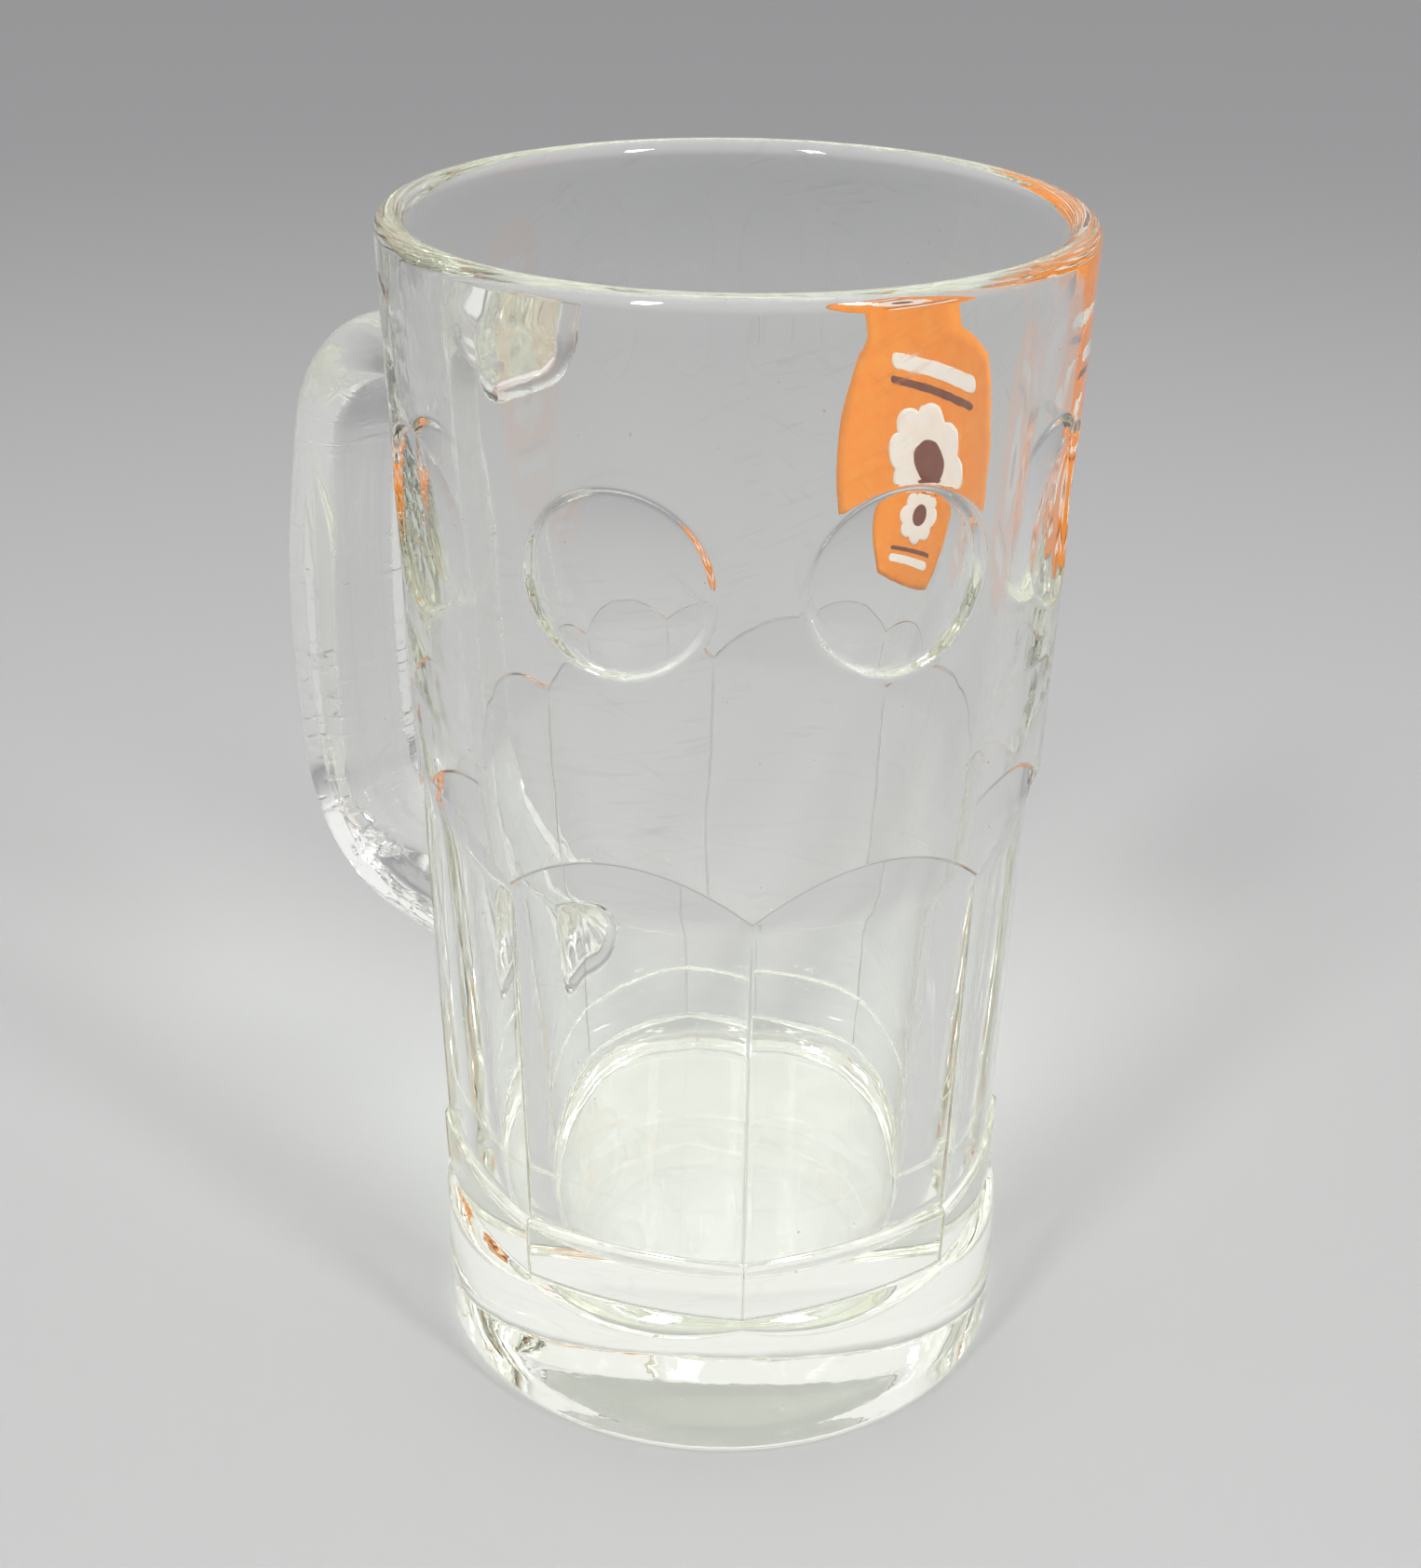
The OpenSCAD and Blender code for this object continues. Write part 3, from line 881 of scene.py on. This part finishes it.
@dataclass(frozen=True)
class EnamelPrint:
    """The fired print: a bowed cushion, a daisy with its heart, and stripes above and below.

    Attributes:
        body: The body that it is fired onto.
        turn: Angle of the print about the mug's axis, in degrees from the handle.
        height: Height of the print's middle.
        wide: Width of the cushion.
        tall: Height of the cushion.
        bow: Radius of the cushion's bowed sides.
        petal: Radius of a petal.
        petal_ring: Radius of the circle that the petals stand on.
        petals: Number of petals.
        heart: Radius of the flower's heart.
        stripe_length: Length of a stripe.
        stripe: Width of a cream stripe.
        rule: Width of a brown stripe.
        half: Half the thickness of the lowest film.
        layer: How much further each film stands out than the one under it.
    """

    body: PressedBody
    turn: float = -95.5
    height: float = 111.5 * MM
    wide: float = 32.0 * MM
    tall: float = 38.0 * MM
    bow: float = 36.0 * MM
    petal: float = 2.7 * MM
    petal_ring: float = 5.2 * MM
    petals: int = 8
    heart: float = 3.0 * MM
    stripe_length: float = 17.0 * MM
    stripe: float = 2.2 * MM
    rule: float = 1.1 * MM
    half: float = 0.05 * MM
    layer: float = 0.02 * MM

    STRIPE_GAP = 1.5
    FILM_COLUMNS, FILM_ROWS = 288, 13
    NODES = {Finish.ORANGE: "enamel_ground", Finish.CREAM: "enamel_cream", Finish.BROWN: "enamel_brown"}

    def stripes(self, width: float, up: float) -> list[Figure]:
        """Draws two stripes with round ends, one above the print's middle and one as far below it.

        Args:
            width: Width of each stripe.
            up: Distance of each from the print's middle.

        Returns:
            The two figures.
        """
        half = (self.stripe_length - width) / 2.0
        discs = [(width / 2.0, half, 0.0), (width / 2.0, -half, 0.0)]
        return [Figure(discs, bar=(half, width / 2.0), up=height) for height in (up, -up)]

    def figures(self) -> dict[Finish, list[Figure]]:
        """Draws the print: the cushion, the daisy with its stripes, and its heart with the rules.

        Returns:
            The figures of each finish, from the lowest film up.
        """
        x, y, ring = self.bow - self.wide / 2.0, self.bow - self.tall / 2.0, self.petal_ring
        cushion = [(self.bow, *place) for place in ((x, 0.0), (-x, 0.0), (0.0, y), (0.0, -y))]
        turns = np.arange(self.petals) * FULL_TURN / self.petals
        petals = [(self.petal, ring * np.cos(turn), ring * np.sin(turn)) for turn in turns]
        rule_up = ring + self.petal + self.STRIPE_GAP * self.rule
        stripe_up = rule_up + self.STRIPE_GAP * self.rule + self.stripe / 2.0
        return {
            Finish.ORANGE: [Figure(cushion, np.min)],
            Finish.CREAM: [Figure([(ring, 0.0, 0.0), *petals]), *self.stripes(self.stripe, stripe_up)],
            Finish.BROWN: [Figure([(self.heart, 0.0, 0.0)]), *self.stripes(self.rule, rule_up)],
        }

    def film_grid(self, figure: Figure, half: float) -> Array:
        """Lays a figure into the wall as a thin closed film.

        A point at share s of the reach, along angle a, goes to (s R(a) cos a, s R(a) sin a) on the
        drawing, and from there straight back onto the wall, which lies sqrt(r^2 - x^2) out along
        the print's own direction. The rows run out over the outer face and back under the inner one.

        Args:
            figure: The figure.
            half: Half the film's thickness.

        Returns:
            A grid of points with shape (rows, columns, 3).
        """
        angle = np.linspace(0.0, FULL_TURN, self.FILM_COLUMNS, endpoint=False)
        rows = np.linspace(0.0, 1.0, self.FILM_ROWS)
        share = np.concatenate([rows, rows[::-1]])[:, None]
        lift = np.repeat([half, -half], self.FILM_ROWS)[:, None]
        x = share * figure.reach(angle) * np.cos(angle)
        z = self.height + figure.up + share * figure.reach(angle) * np.sin(angle)
        out = np.sqrt((self.body.wall_radius(z) + lift) ** 2 - x**2)
        c, s = np.cos(np.radians(self.turn)), np.sin(np.radians(self.turn))
        return np.stack([out * c - x * s, out * s + x * c, z], axis=-1)

    def build(self) -> dict[Finish, Object]:
        """Makes one object for each colour and hides the imported film.

        Returns:
            The three films by finish.
        """
        films = {}
        for level, (finish, figures) in enumerate(self.figures().items()):
            node, half = self.NODES[finish], self.half + level * self.layer
            grids = [self.film_grid(figure, half) for figure in figures]
            parts = [closed_surface(f"film_{node}_{number}", grid) for number, grid in enumerate(grids)]
            films[finish] = join(parts, f"fired_{node}")
            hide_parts(node)
        return films


def join(parts: Sequence[Object], name: str) -> Object:
    """Joins objects at the origin into one object with a new name.

    Args:
        parts: The objects, all at the origin.
        name: The joined object's name.

    Returns:
        The joined object.
    """
    meshes = [part.data for part in parts]
    with bpy.context.temp_override(active_object=parts[0], selected_editable_objects=list(parts)):
        bpy.ops.object.join()
    parts[0].name = name
    for mesh in meshes[1:]:
        if mesh.users == 0:
            bpy.data.meshes.remove(mesh)
    return parts[0]


class NodeBench:
    """Adds nodes to one shader tree and wires them, so that a finish reads like a recipe."""

    def __init__(self, tree: Tree) -> None:
        """Takes an empty tree."""
        self.tree = tree

    def add(self, kind: str, inputs: Inputs | None = None, **settings: Value) -> bpy.types.Node:
        """Adds a node, sets it up and wires or fills its inputs.

        Args:
            kind: Blender's name of the node's type.
            inputs: Socket name or number to a value, or to another node's output socket.
            **settings: The node's own settings.

        Returns:
            The node.
        """
        node = self.tree.nodes.new(kind)
        for key, value in settings.items():
            setattr(node, key, value)
        for key, value in (inputs or {}).items():
            if isinstance(value, Socket):
                self.tree.links.new(value, node.inputs[key])
            else:
                node.inputs[key].default_value = value
        return node

    def math(self, operation: str, *terms: Value) -> Socket:
        """Carries one operation through its terms, from the first on.

        Args:
            operation: Blender's name of the operation.
            *terms: Two or more numbers or sockets.

        Returns:
            The result's socket.
        """
        result = terms[0]
        for term in terms[1:]:
            result = self.add("ShaderNodeMath", {0: result, 1: term}, operation=operation).outputs[0]
        return result

    def band(self, value: Value, low: float, high: float) -> Socket:
        """Stretches the values from low to high over 0 to 1, with soft ends."""
        ends = {"Value": value, "From Min": low, "From Max": high}
        return self.add("ShaderNodeMapRange", ends, interpolation_type="SMOOTHSTEP").outputs["Result"]

    def below(self, value: Value, low: float, high: float) -> Socket:
        """Gives 1 up to the low value and 0 from the high one on, with soft ends."""
        return self.math("SUBTRACT", 1.0, self.band(value, low, high))

    def noise(self, place: Value, scale: Value, detail: float) -> Socket:
        """Adds a noise that reads a place."""
        inputs = {"Vector": place, "Scale": scale, "Detail": detail}
        return self.add("ShaderNodeTexNoise", inputs).outputs["Fac"]

    def stretch(self, place: Value, factors: Value) -> Socket:
        """Multiplies a place by a factor for each axis."""
        return self.add("ShaderNodeVectorMath", {0: place, 1: factors}, operation="MULTIPLY").outputs[0]

    def mix_colour(self, share: Value, low: Value, high: Value) -> Socket:
        """Mixes two colours by a share."""
        return self.add("ShaderNodeMix", {0: share, 6: low, 7: high}, data_type="RGBA").outputs[2]

    def effect(self, tree: Tree, place: Value, **numbers: Value) -> Sockets:
        """Adds a shared node group at a place and gives its outputs."""
        return self.add("ShaderNodeGroup", {"Place": place, **numbers}, node_tree=tree).outputs

    def bump(self, height: Value, strength: float, distance: float, **under: Value) -> Socket:
        """Turns a height into a normal, on top of another normal where one is given."""
        inputs = {"Height": height, "Strength": strength, "Distance": distance, **under}
        return self.add("ShaderNodeBump", inputs).outputs["Normal"]


def start_tree(owner: Material | bpy.types.World) -> NodeBench:
    """Empties the shader tree of a material or a world.

    Args:
        owner: The material or the world.

    Returns:
        A bench on its tree.
    """
    owner.use_nodes = True
    owner.node_tree.nodes.clear()
    return NodeBench(owner.node_tree)


def start_group(
    name: str, inputs: dict[str, float], outputs: Sequence[str]
) -> tuple[NodeBench, Sockets, Sockets]:
    """Makes a shader node group with a place as its first input.

    Args:
        name: Name of the group.
        inputs: Names of the number inputs, with their defaults.
        outputs: Names of the number outputs.

    Returns:
        A bench on the group's tree, the sockets of what it is given and those of its results.
    """
    tree = bpy.data.node_groups.new(name, "ShaderNodeTree")
    tree.interface.new_socket("Place", in_out="INPUT", socket_type="NodeSocketVector")
    for key, value in inputs.items():
        tree.interface.new_socket(key, in_out="INPUT", socket_type="NodeSocketFloat").default_value = value
    for key in outputs:
        tree.interface.new_socket(key, in_out="OUTPUT", socket_type="NodeSocketFloat")
    bench = NodeBench(tree)
    return bench, bench.add("NodeGroupInput").outputs, bench.add("NodeGroupOutput").inputs


def melt_ripple_group() -> Tree:
    """Makes the faint waves of pressed and fired surfaces: a long noise and a quicker, fainter one.

    Returns:
        The node group, with the waves' height.
    """
    quicker, faint = 3.7, 0.3
    bench, given, result = start_group("melt_ripple", {"Scale": 60.0, "Stretch": 0.35}, ["Height"])
    factors = bench.add("ShaderNodeCombineXYZ", {"X": 1.0, "Y": 1.0, "Z": given["Stretch"]}).outputs[0]
    place = bench.stretch(given["Place"], factors)
    slow = bench.noise(place, given["Scale"], detail=1.0)
    fast = bench.noise(place, bench.math("MULTIPLY", given["Scale"], quicker), detail=2.0)
    height = bench.math("ADD", slow, bench.math("MULTIPLY", fast, faint))
    bench.tree.links.new(height, result["Height"])
    return bench.tree


def fine_wear_group() -> Tree:
    """Makes hairline scratches and tiny specks: thin lines of two stretched noises, and small cells.

    Returns:
        The node group, with a mask of the scratches and one of the specks.
    """
    thin, soft_edge, empty_cells = (0.08, 0.08, 1.0), 0.04, 0.93
    bench, given, result = start_group("fine_wear", {"Scale": 1500.0, "Amount": 0.5}, ["Scratches", "Specks"])
    place, amount = given["Place"], given["Amount"]
    hairs = []
    for turn, rarity in ((0.5, 0.62), (-0.9, 0.66)):
        turned = bench.add("ShaderNodeVectorRotate", {"Vector": place, "Angle": turn}, rotation_type="X_AXIS")
        hair = bench.noise(bench.stretch(turned.outputs[0], thin), given["Scale"], detail=2.0)
        hairs.append(bench.band(hair, low=rarity, high=rarity + soft_edge))
    patches = bench.band(bench.noise(place, scale=45.0, detail=2.0), low=0.5, high=0.68)
    scratches = bench.math("MULTIPLY", bench.math("MAXIMUM", *hairs), patches, amount)
    bench.tree.links.new(scratches, result["Scratches"])
    cells = bench.add("ShaderNodeTexVoronoi", {"Vector": place, "Scale": 330.0}).outputs
    chance = bench.add("ShaderNodeSeparateColor", {0: cells["Color"]}).outputs[0]
    dots = bench.below(cells["Distance"], low=0.05, high=0.09)
    specks = bench.math("MULTIPLY", dots, bench.math("GREATER_THAN", chance, empty_cells), amount)
    bench.tree.links.new(specks, result["Specks"])
    return bench.tree


def chill_wrinkle_group() -> Tree:
    """Makes the short level wrinkles of glass that chilled on the mould: a flattened noise, in patches.

    Returns:
        The node group, with the wrinkles' height.
    """
    flat = (0.22, 0.22, 1.0)
    bench, given, result = start_group("chill_wrinkles", {"Scale": 700.0, "Amount": 0.0}, ["Height"])
    wrinkles = bench.noise(bench.stretch(given["Place"], flat), given["Scale"], detail=1.5)
    patches = bench.math("ADD", bench.noise(given["Place"], scale=75.0, detail=1.0), given["Amount"])
    height = bench.math("MULTIPLY", bench.band(wrinkles, low=0.50, high=0.72),
                        bench.band(patches, low=0.54, high=0.64))
    bench.tree.links.new(height, result["Height"])
    return bench.tree


@dataclass(frozen=True)
class SharedEffects:
    """The node groups that several finishes use.

    Attributes:
        ripple: Faint waves in a fired or pressed surface.
        wear: Scratches and specks.
        wrinkles: Short level wrinkles on the handle.
    """

    ripple: Tree = field(default_factory=melt_ripple_group)
    wear: Tree = field(default_factory=fine_wear_group)
    wrinkles: Tree = field(default_factory=chill_wrinkle_group)


@dataclass(frozen=True)
class ClearGlass:
    """Pressed soda-lime glass, clear, with a faint green that shows where it is thick.

    Attributes:
        effects: The shared node groups.
        clear: Colour of the light that one surface lets through.
        worn_and_shaded: Colour of that light at scratches and specks, and along the seams and arches, where
            its grey is painted shade.
        tint: Colour that thick glass takes on.
        density: How quickly it takes that colour on, per metre.
        index: Refractive index.
        shadow: Colour of the light that passes to the floor, straight through.
        shadow_edge: Colour of that light where the glass is seen edge on.
        polished: Roughness where nothing has touched the glass.
    """

    effects: SharedEffects
    clear: Colour = (0.990, 0.993, 0.987, 1.0)
    worn_and_shaded: Colour = (0.62, 0.62, 0.60, 1.0)
    tint: Colour = (0.72, 0.80, 0.36, 1.0)
    density: float = 1.9
    index: float = 1.52
    shadow: Colour = (0.93, 0.94, 0.93, 1.0)
    shadow_edge: Colour = (0.42, 0.44, 0.42, 1.0)
    polished: float = 0.004

    WEAR = 0.9
    SCUFF_ROUGH, SCRATCH_ROUGH, SPECK_ROUGH, EDGE_ROUGH = 0.12, 0.10, 0.6, 0.3
    SPECK_SHADE, SCRATCH_SHADE = 0.6, 0.25
    WRINKLE_GATHER = 0.14
    SHADOW_FALL = 2.5

    def normal(self, bench: NodeBench, place: Socket) -> Socket:
        """Works out the normal: slow waves all over, and wrinkles on the handle, mostly by its lower bend.

        Args:
            bench: Bench on the material's tree.
            place: Place on the glass.

        Returns:
            The normal.
        """
        axes = bench.add("ShaderNodeSeparateXYZ", {"Vector": place}).outputs
        low_down = bench.below(axes["Z"], low=48.0 * MM, high=72.0 * MM)
        gather = bench.math("MULTIPLY", low_down, self.WRINKLE_GATHER)
        wrinkles = bench.effect(self.effects.wrinkles, place, Amount=gather)["Height"]
        creases = bench.math("MULTIPLY", wrinkles, bench.band(axes["X"], low=45.0 * MM, high=51.0 * MM))
        ripple = bench.effect(self.effects.ripple, place)["Height"]
        waves = bench.bump(ripple, strength=0.12, distance=0.6 * MM)
        return bench.bump(creases, strength=0.35, distance=0.2 * MM, Normal=waves)

    def material(self) -> Material:
        """Makes the material: clear glass with edges rougher from wear and greyed with painted shade, fine
        scratches and a soft shadow.

        Returns:
            The material.
        """
        material = bpy.data.materials.new("clear_pressed_glass")
        bench = start_tree(material)
        place = bench.add("ShaderNodeTexCoord").outputs["Object"]
        edges = bench.add("ShaderNodeAttribute", attribute_name=EDGE_WEAR_AND_SHADE).outputs["Fac"]
        wear = bench.effect(self.effects.wear, place, Amount=self.WEAR)
        # Painted shade: the seams and arches are greyed towards the worn colour as a dark line along each
        # ridge; specks and scratches grey it as real wear.
        marked = bench.math("MAXIMUM", edges, bench.math("MULTIPLY", wear["Specks"], self.SPECK_SHADE),
                            bench.math("MULTIPLY", wear["Scratches"], self.SCRATCH_SHADE))
        height = bench.add("ShaderNodeSeparateXYZ", {"Vector": place}).outputs["Z"]
        ring = bench.below(height, low=0.1 * MM, high=0.6 * MM)
        grain = bench.band(bench.noise(place, scale=260.0, detail=4.0), low=0.52, high=0.72)
        rough = bench.math("MAXIMUM", bench.math("MULTIPLY", ring, grain, self.SCUFF_ROUGH),
                           bench.math("MULTIPLY", wear["Scratches"], self.SCRATCH_ROUGH),
                           bench.math("MULTIPLY", wear["Specks"], self.SPECK_ROUGH),
                           bench.math("MULTIPLY", edges, self.EDGE_ROUGH))
        glass = bench.add("ShaderNodeBsdfPrincipled", {
            "Base Color": bench.mix_colour(marked, self.clear, self.worn_and_shaded), "IOR": self.index,
            "Roughness": bench.math("ADD", rough, self.polished),
            "Transmission Weight": 1.0, "Normal": self.normal(bench, place),
        })
        facing = bench.add("ShaderNodeLayerWeight", {"Blend": 0.5}).outputs["Facing"]
        edge_on = bench.math("POWER", facing, self.SHADOW_FALL)
        passed = bench.mix_colour(edge_on, self.shadow, self.shadow_edge)
        through = bench.add("ShaderNodeBsdfTransparent", {"Color": passed})
        shadow_ray = bench.add("ShaderNodeLightPath").outputs["Is Shadow Ray"]
        shader = bench.add("ShaderNodeMixShader", {0: shadow_ray, 1: glass.outputs[0], 2: through.outputs[0]})
        depth = bench.add("ShaderNodeVolumeAbsorption", {"Color": self.tint, "Density": self.density})
        bench.add("ShaderNodeOutputMaterial", {"Surface": shader.outputs[0], "Volume": depth.outputs[0]})
        return material


@dataclass(frozen=True)
class FiredEnamel:
    """Glass enamel printed and fired onto the wall: dense colour, a soft gloss and a fine mottle.

    Attributes:
        effects: The shared node groups.
        name: Name of the material.
        colour: Colour of the dense film.
        thin: Colour where the film is a little thinner.
        gloss: Roughness where nothing has touched the film.
        index: Refractive index.
        shine: Strength of its reflection, low because the film is fired into the glass.
    """

    effects: SharedEffects
    name: str
    colour: Colour
    thin: Colour
    gloss: float = 0.2
    index: float = 1.5
    shine: float = 0.2

    THINNED, MOTTLE_ROUGH, SCRATCH_ROUGH = 0.5, 0.18, 0.25

    def material(self) -> Material:
        """Makes the material: a mottled film with pinholes of thinner colour and a satin gloss.

        Returns:
            The material.
        """
        material = bpy.data.materials.new(self.name)
        bench = start_tree(material)
        place = bench.add("ShaderNodeTexCoord").outputs["Object"]
        mottle = bench.noise(place, scale=420.0, detail=4.0)
        wear = bench.effect(self.effects.wear, place)
        ripple = bench.effect(self.effects.ripple, place, Scale=500.0, Stretch=1.0)["Height"]
        patchy = bench.math("MULTIPLY", bench.band(mottle, low=0.45, high=0.75), self.THINNED)
        rough = bench.math("ADD", bench.math("MULTIPLY", mottle, self.MOTTLE_ROUGH),
                           bench.math("MULTIPLY", wear["Scratches"], self.SCRATCH_ROUGH), self.gloss)
        thinned = bench.math("MAXIMUM", patchy, wear["Specks"])
        shader = bench.add("ShaderNodeBsdfPrincipled", {
            "Base Color": bench.mix_colour(thinned, self.colour, self.thin), "Roughness": rough,
            "IOR": self.index, "Specular IOR Level": self.shine,
            "Normal": bench.bump(ripple, strength=0.25, distance=0.1 * MM),
        })
        bench.add("ShaderNodeOutputMaterial", {"Surface": shader.outputs[0]})
        return material


@dataclass(frozen=True)
class Studio:
    """Plain pale floor, a plain pale surround, soft lamps and the camera.

    Attributes:
        handle_bearing: Angle from the camera's side of the mug to the handle, in degrees.
        lens: Focal length for a sensor 36 mm wide on the picture's long side.
        pitch: How far the camera looks down, in degrees.
        yaw: How far it looks past the mug's axis to the left, in degrees.
        roll: How far it is tilted, in degrees.
        distance: Distance of the camera from the mug's axis.
        eye_height: Height of the camera.
        lamps: Each lamp's angle to the right of the camera and above the floor, in degrees, and
            its power in watts.
        lamp_distance: Distance of the lamps.
        lamp_wide: Width of a lamp's face.
        lamp_tall: Height of a lamp's face.
        floor_near: Colour of the floor under the mug.
        floor_far: Colour of the floor far away.
        sky_low: Colour that the surround shows at the level of the floor.
        sky_high: Colour that it shows higher up.
        sky_light: Colour that it lights the floor with.
    """

    handle_bearing: float = 130.5
    lens: float = 56.6
    pitch: float = 25.6
    yaw: float = -0.45
    roll: float = 0.8
    distance: float = 286.3 * MM
    eye_height: float = 215.3 * MM
    lamps: tuple[tuple[float, float, float], ...] = ((-31.0, 42.0, 8.8), (43.0, 42.0, 8.8))
    lamp_distance: float = 1.5
    lamp_wide: float = 0.16
    lamp_tall: float = 0.42
    floor_near: Colour = (0.53, 0.53, 0.525, 1.0)
    floor_far: Colour = (0.335, 0.335, 0.34, 1.0)
    sky_low: Colour = (0.33, 0.33, 0.335, 1.0)
    sky_high: Colour = (0.94, 0.94, 0.94, 1.0)
    sky_light: Colour = (0.60, 0.60, 0.61, 1.0)

    SENSOR = 36.0
    CLIP_START = 10.0 * MM
    FLOOR_HALF = 6.0
    FLOOR_DROP = 0.02 * MM

    def turned(self, bearing: float) -> Vector:
        """Direction on the floor at a bearing from the camera's side, to the picture's right."""
        a = np.radians(bearing + self.handle_bearing)
        return Vector((np.cos(a), np.sin(a), 0.0))

    def camera(self) -> None:
        """Sets up the camera where the photograph was taken from, and makes it the scene's camera."""
        eye = self.turned(0.0) * self.distance + UP * self.eye_height
        ahead = self.turned(180.0 - self.yaw)
        down, tilt = np.radians(self.pitch), np.radians(self.roll)
        forward = ahead * np.cos(down) - UP * np.sin(down)
        level = ahead.cross(UP)
        rise = level.cross(forward)
        right = level * np.cos(tilt) + rise * np.sin(tilt)
        up = rise * np.cos(tilt) - level * np.sin(tilt)
        optics = bpy.data.cameras.new("camera")
        optics.sensor_width, optics.lens, optics.clip_start = self.SENSOR, self.lens, self.CLIP_START
        camera = add_object("camera", optics)
        camera.matrix_world = Matrix.Translation(eye) @ Matrix((right, up, -forward)).transposed().to_4x4()
        bpy.context.scene.camera = camera

    def hang_lamps(self) -> None:
        """Hangs the soft lamps, all aimed at the middle of the mug."""
        aim = UP * (CAD_BOX[1].z / 2.0)
        for number, (bearing, above, power) in enumerate(self.lamps):
            rise = np.radians(above)
            away = self.turned(bearing) * np.cos(rise) + UP * np.sin(rise)
            light = bpy.data.lights.new(f"soft_lamp_{number}", "AREA")
            light.shape, light.energy = "RECTANGLE", power
            light.size, light.size_y = self.lamp_wide, self.lamp_tall
            lamp = add_object(light.name, light)
            lamp.location = aim + away * self.lamp_distance
            lamp.rotation_euler = away.to_track_quat("Z", "Y").to_euler()

    def floor(self) -> None:
        """Lays a wide pale floor just under the mug, a little darker far away."""
        corners = [(x * self.FLOOR_HALF, y * self.FLOOR_HALF, -self.FLOOR_DROP)
                   for x, y in ((-1, -1), (1, -1), (1, 1), (-1, 1))]
        mesh = bpy.data.meshes.new("floor")
        mesh.from_pydata(corners, [], [(0, 1, 2, 3)])
        material = bpy.data.materials.new("pale_floor")
        bench = start_tree(material)
        place = bench.add("ShaderNodeTexCoord").outputs["Object"]
        away = bench.add("ShaderNodeVectorMath", {0: place}, operation="LENGTH").outputs["Value"]
        colour = bench.mix_colour(bench.band(away, low=0.05, high=0.9), self.floor_near, self.floor_far)
        shader = bench.add("ShaderNodeBsdfPrincipled", {"Base Color": colour, "Roughness": 0.6})
        bench.add("ShaderNodeOutputMaterial", {"Surface": shader.outputs[0]})
        mesh.materials.append(material)
        floor = add_object("floor", mesh)

    def surround(self) -> None:
        """Lights the scene from all round, and shows a pale surround to the camera and the glass."""
        world = bpy.data.worlds.new("surround")
        bench = start_tree(world)
        way = bench.add("ShaderNodeTexCoord").outputs["Generated"]
        up = bench.add("ShaderNodeSeparateXYZ", {"Vector": way}).outputs["Z"]
        shown = bench.mix_colour(bench.band(up, low=0.0, high=0.5), self.sky_low, self.sky_high)
        rays = bench.add("ShaderNodeLightPath").outputs
        kinds = (rays[f"Is {kind} Ray"] for kind in ("Camera", "Glossy", "Transmission"))
        seen = bench.math("MAXIMUM", *kinds)
        seen = bench.math("MULTIPLY", seen, bench.math("LESS_THAN", rays["Diffuse Depth"], 0.5))
        colour = bench.mix_colour(seen, self.sky_light, shown)
        light = bench.add("ShaderNodeBackground", {"Color": colour, "Strength": 1.0})
        bench.add("ShaderNodeOutputWorld", {"Surface": light.outputs[0]})
        bpy.context.scene.world = world


def dress(piece: Object, material: Material) -> None:
    """Gives a piece its material, and lets it ride with the mug.

    Args:
        piece: The piece.
        material: Its material.
    """
    piece.data.materials.clear()
    piece.data.materials.append(material)
    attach(piece, "root")
    log.info("%s wears %s", piece.name, material.name)


def main() -> None:
    """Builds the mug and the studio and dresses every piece."""
    logging.basicConfig(level=logging.INFO, format="%(name)s: %(message)s")
    bpy.context.scene.view_settings.view_transform = "Standard"
    paths = bpy.context.scene.cycles
    paths.max_bounces = paths.transmission_bounces = paths.glossy_bounces = GLASS_BOUNCES
    effects = SharedEffects()
    glass = ClearGlass(effects).material()
    body = PressedBody()
    dress(body.build(), glass)
    dress(BowedHandle(body).build(), glass)
    for finish, film in EnamelPrint(body).build().items():
        enamel = FiredEnamel(effects, f"{finish.name.lower()}_fired_enamel", *ENAMEL_COLOURS[finish])
        dress(film, enamel.material())
    studio = Studio()
    studio.floor()
    studio.surround()
    studio.hang_lamps()
    studio.camera()


if __name__ == "__main__":
    main()
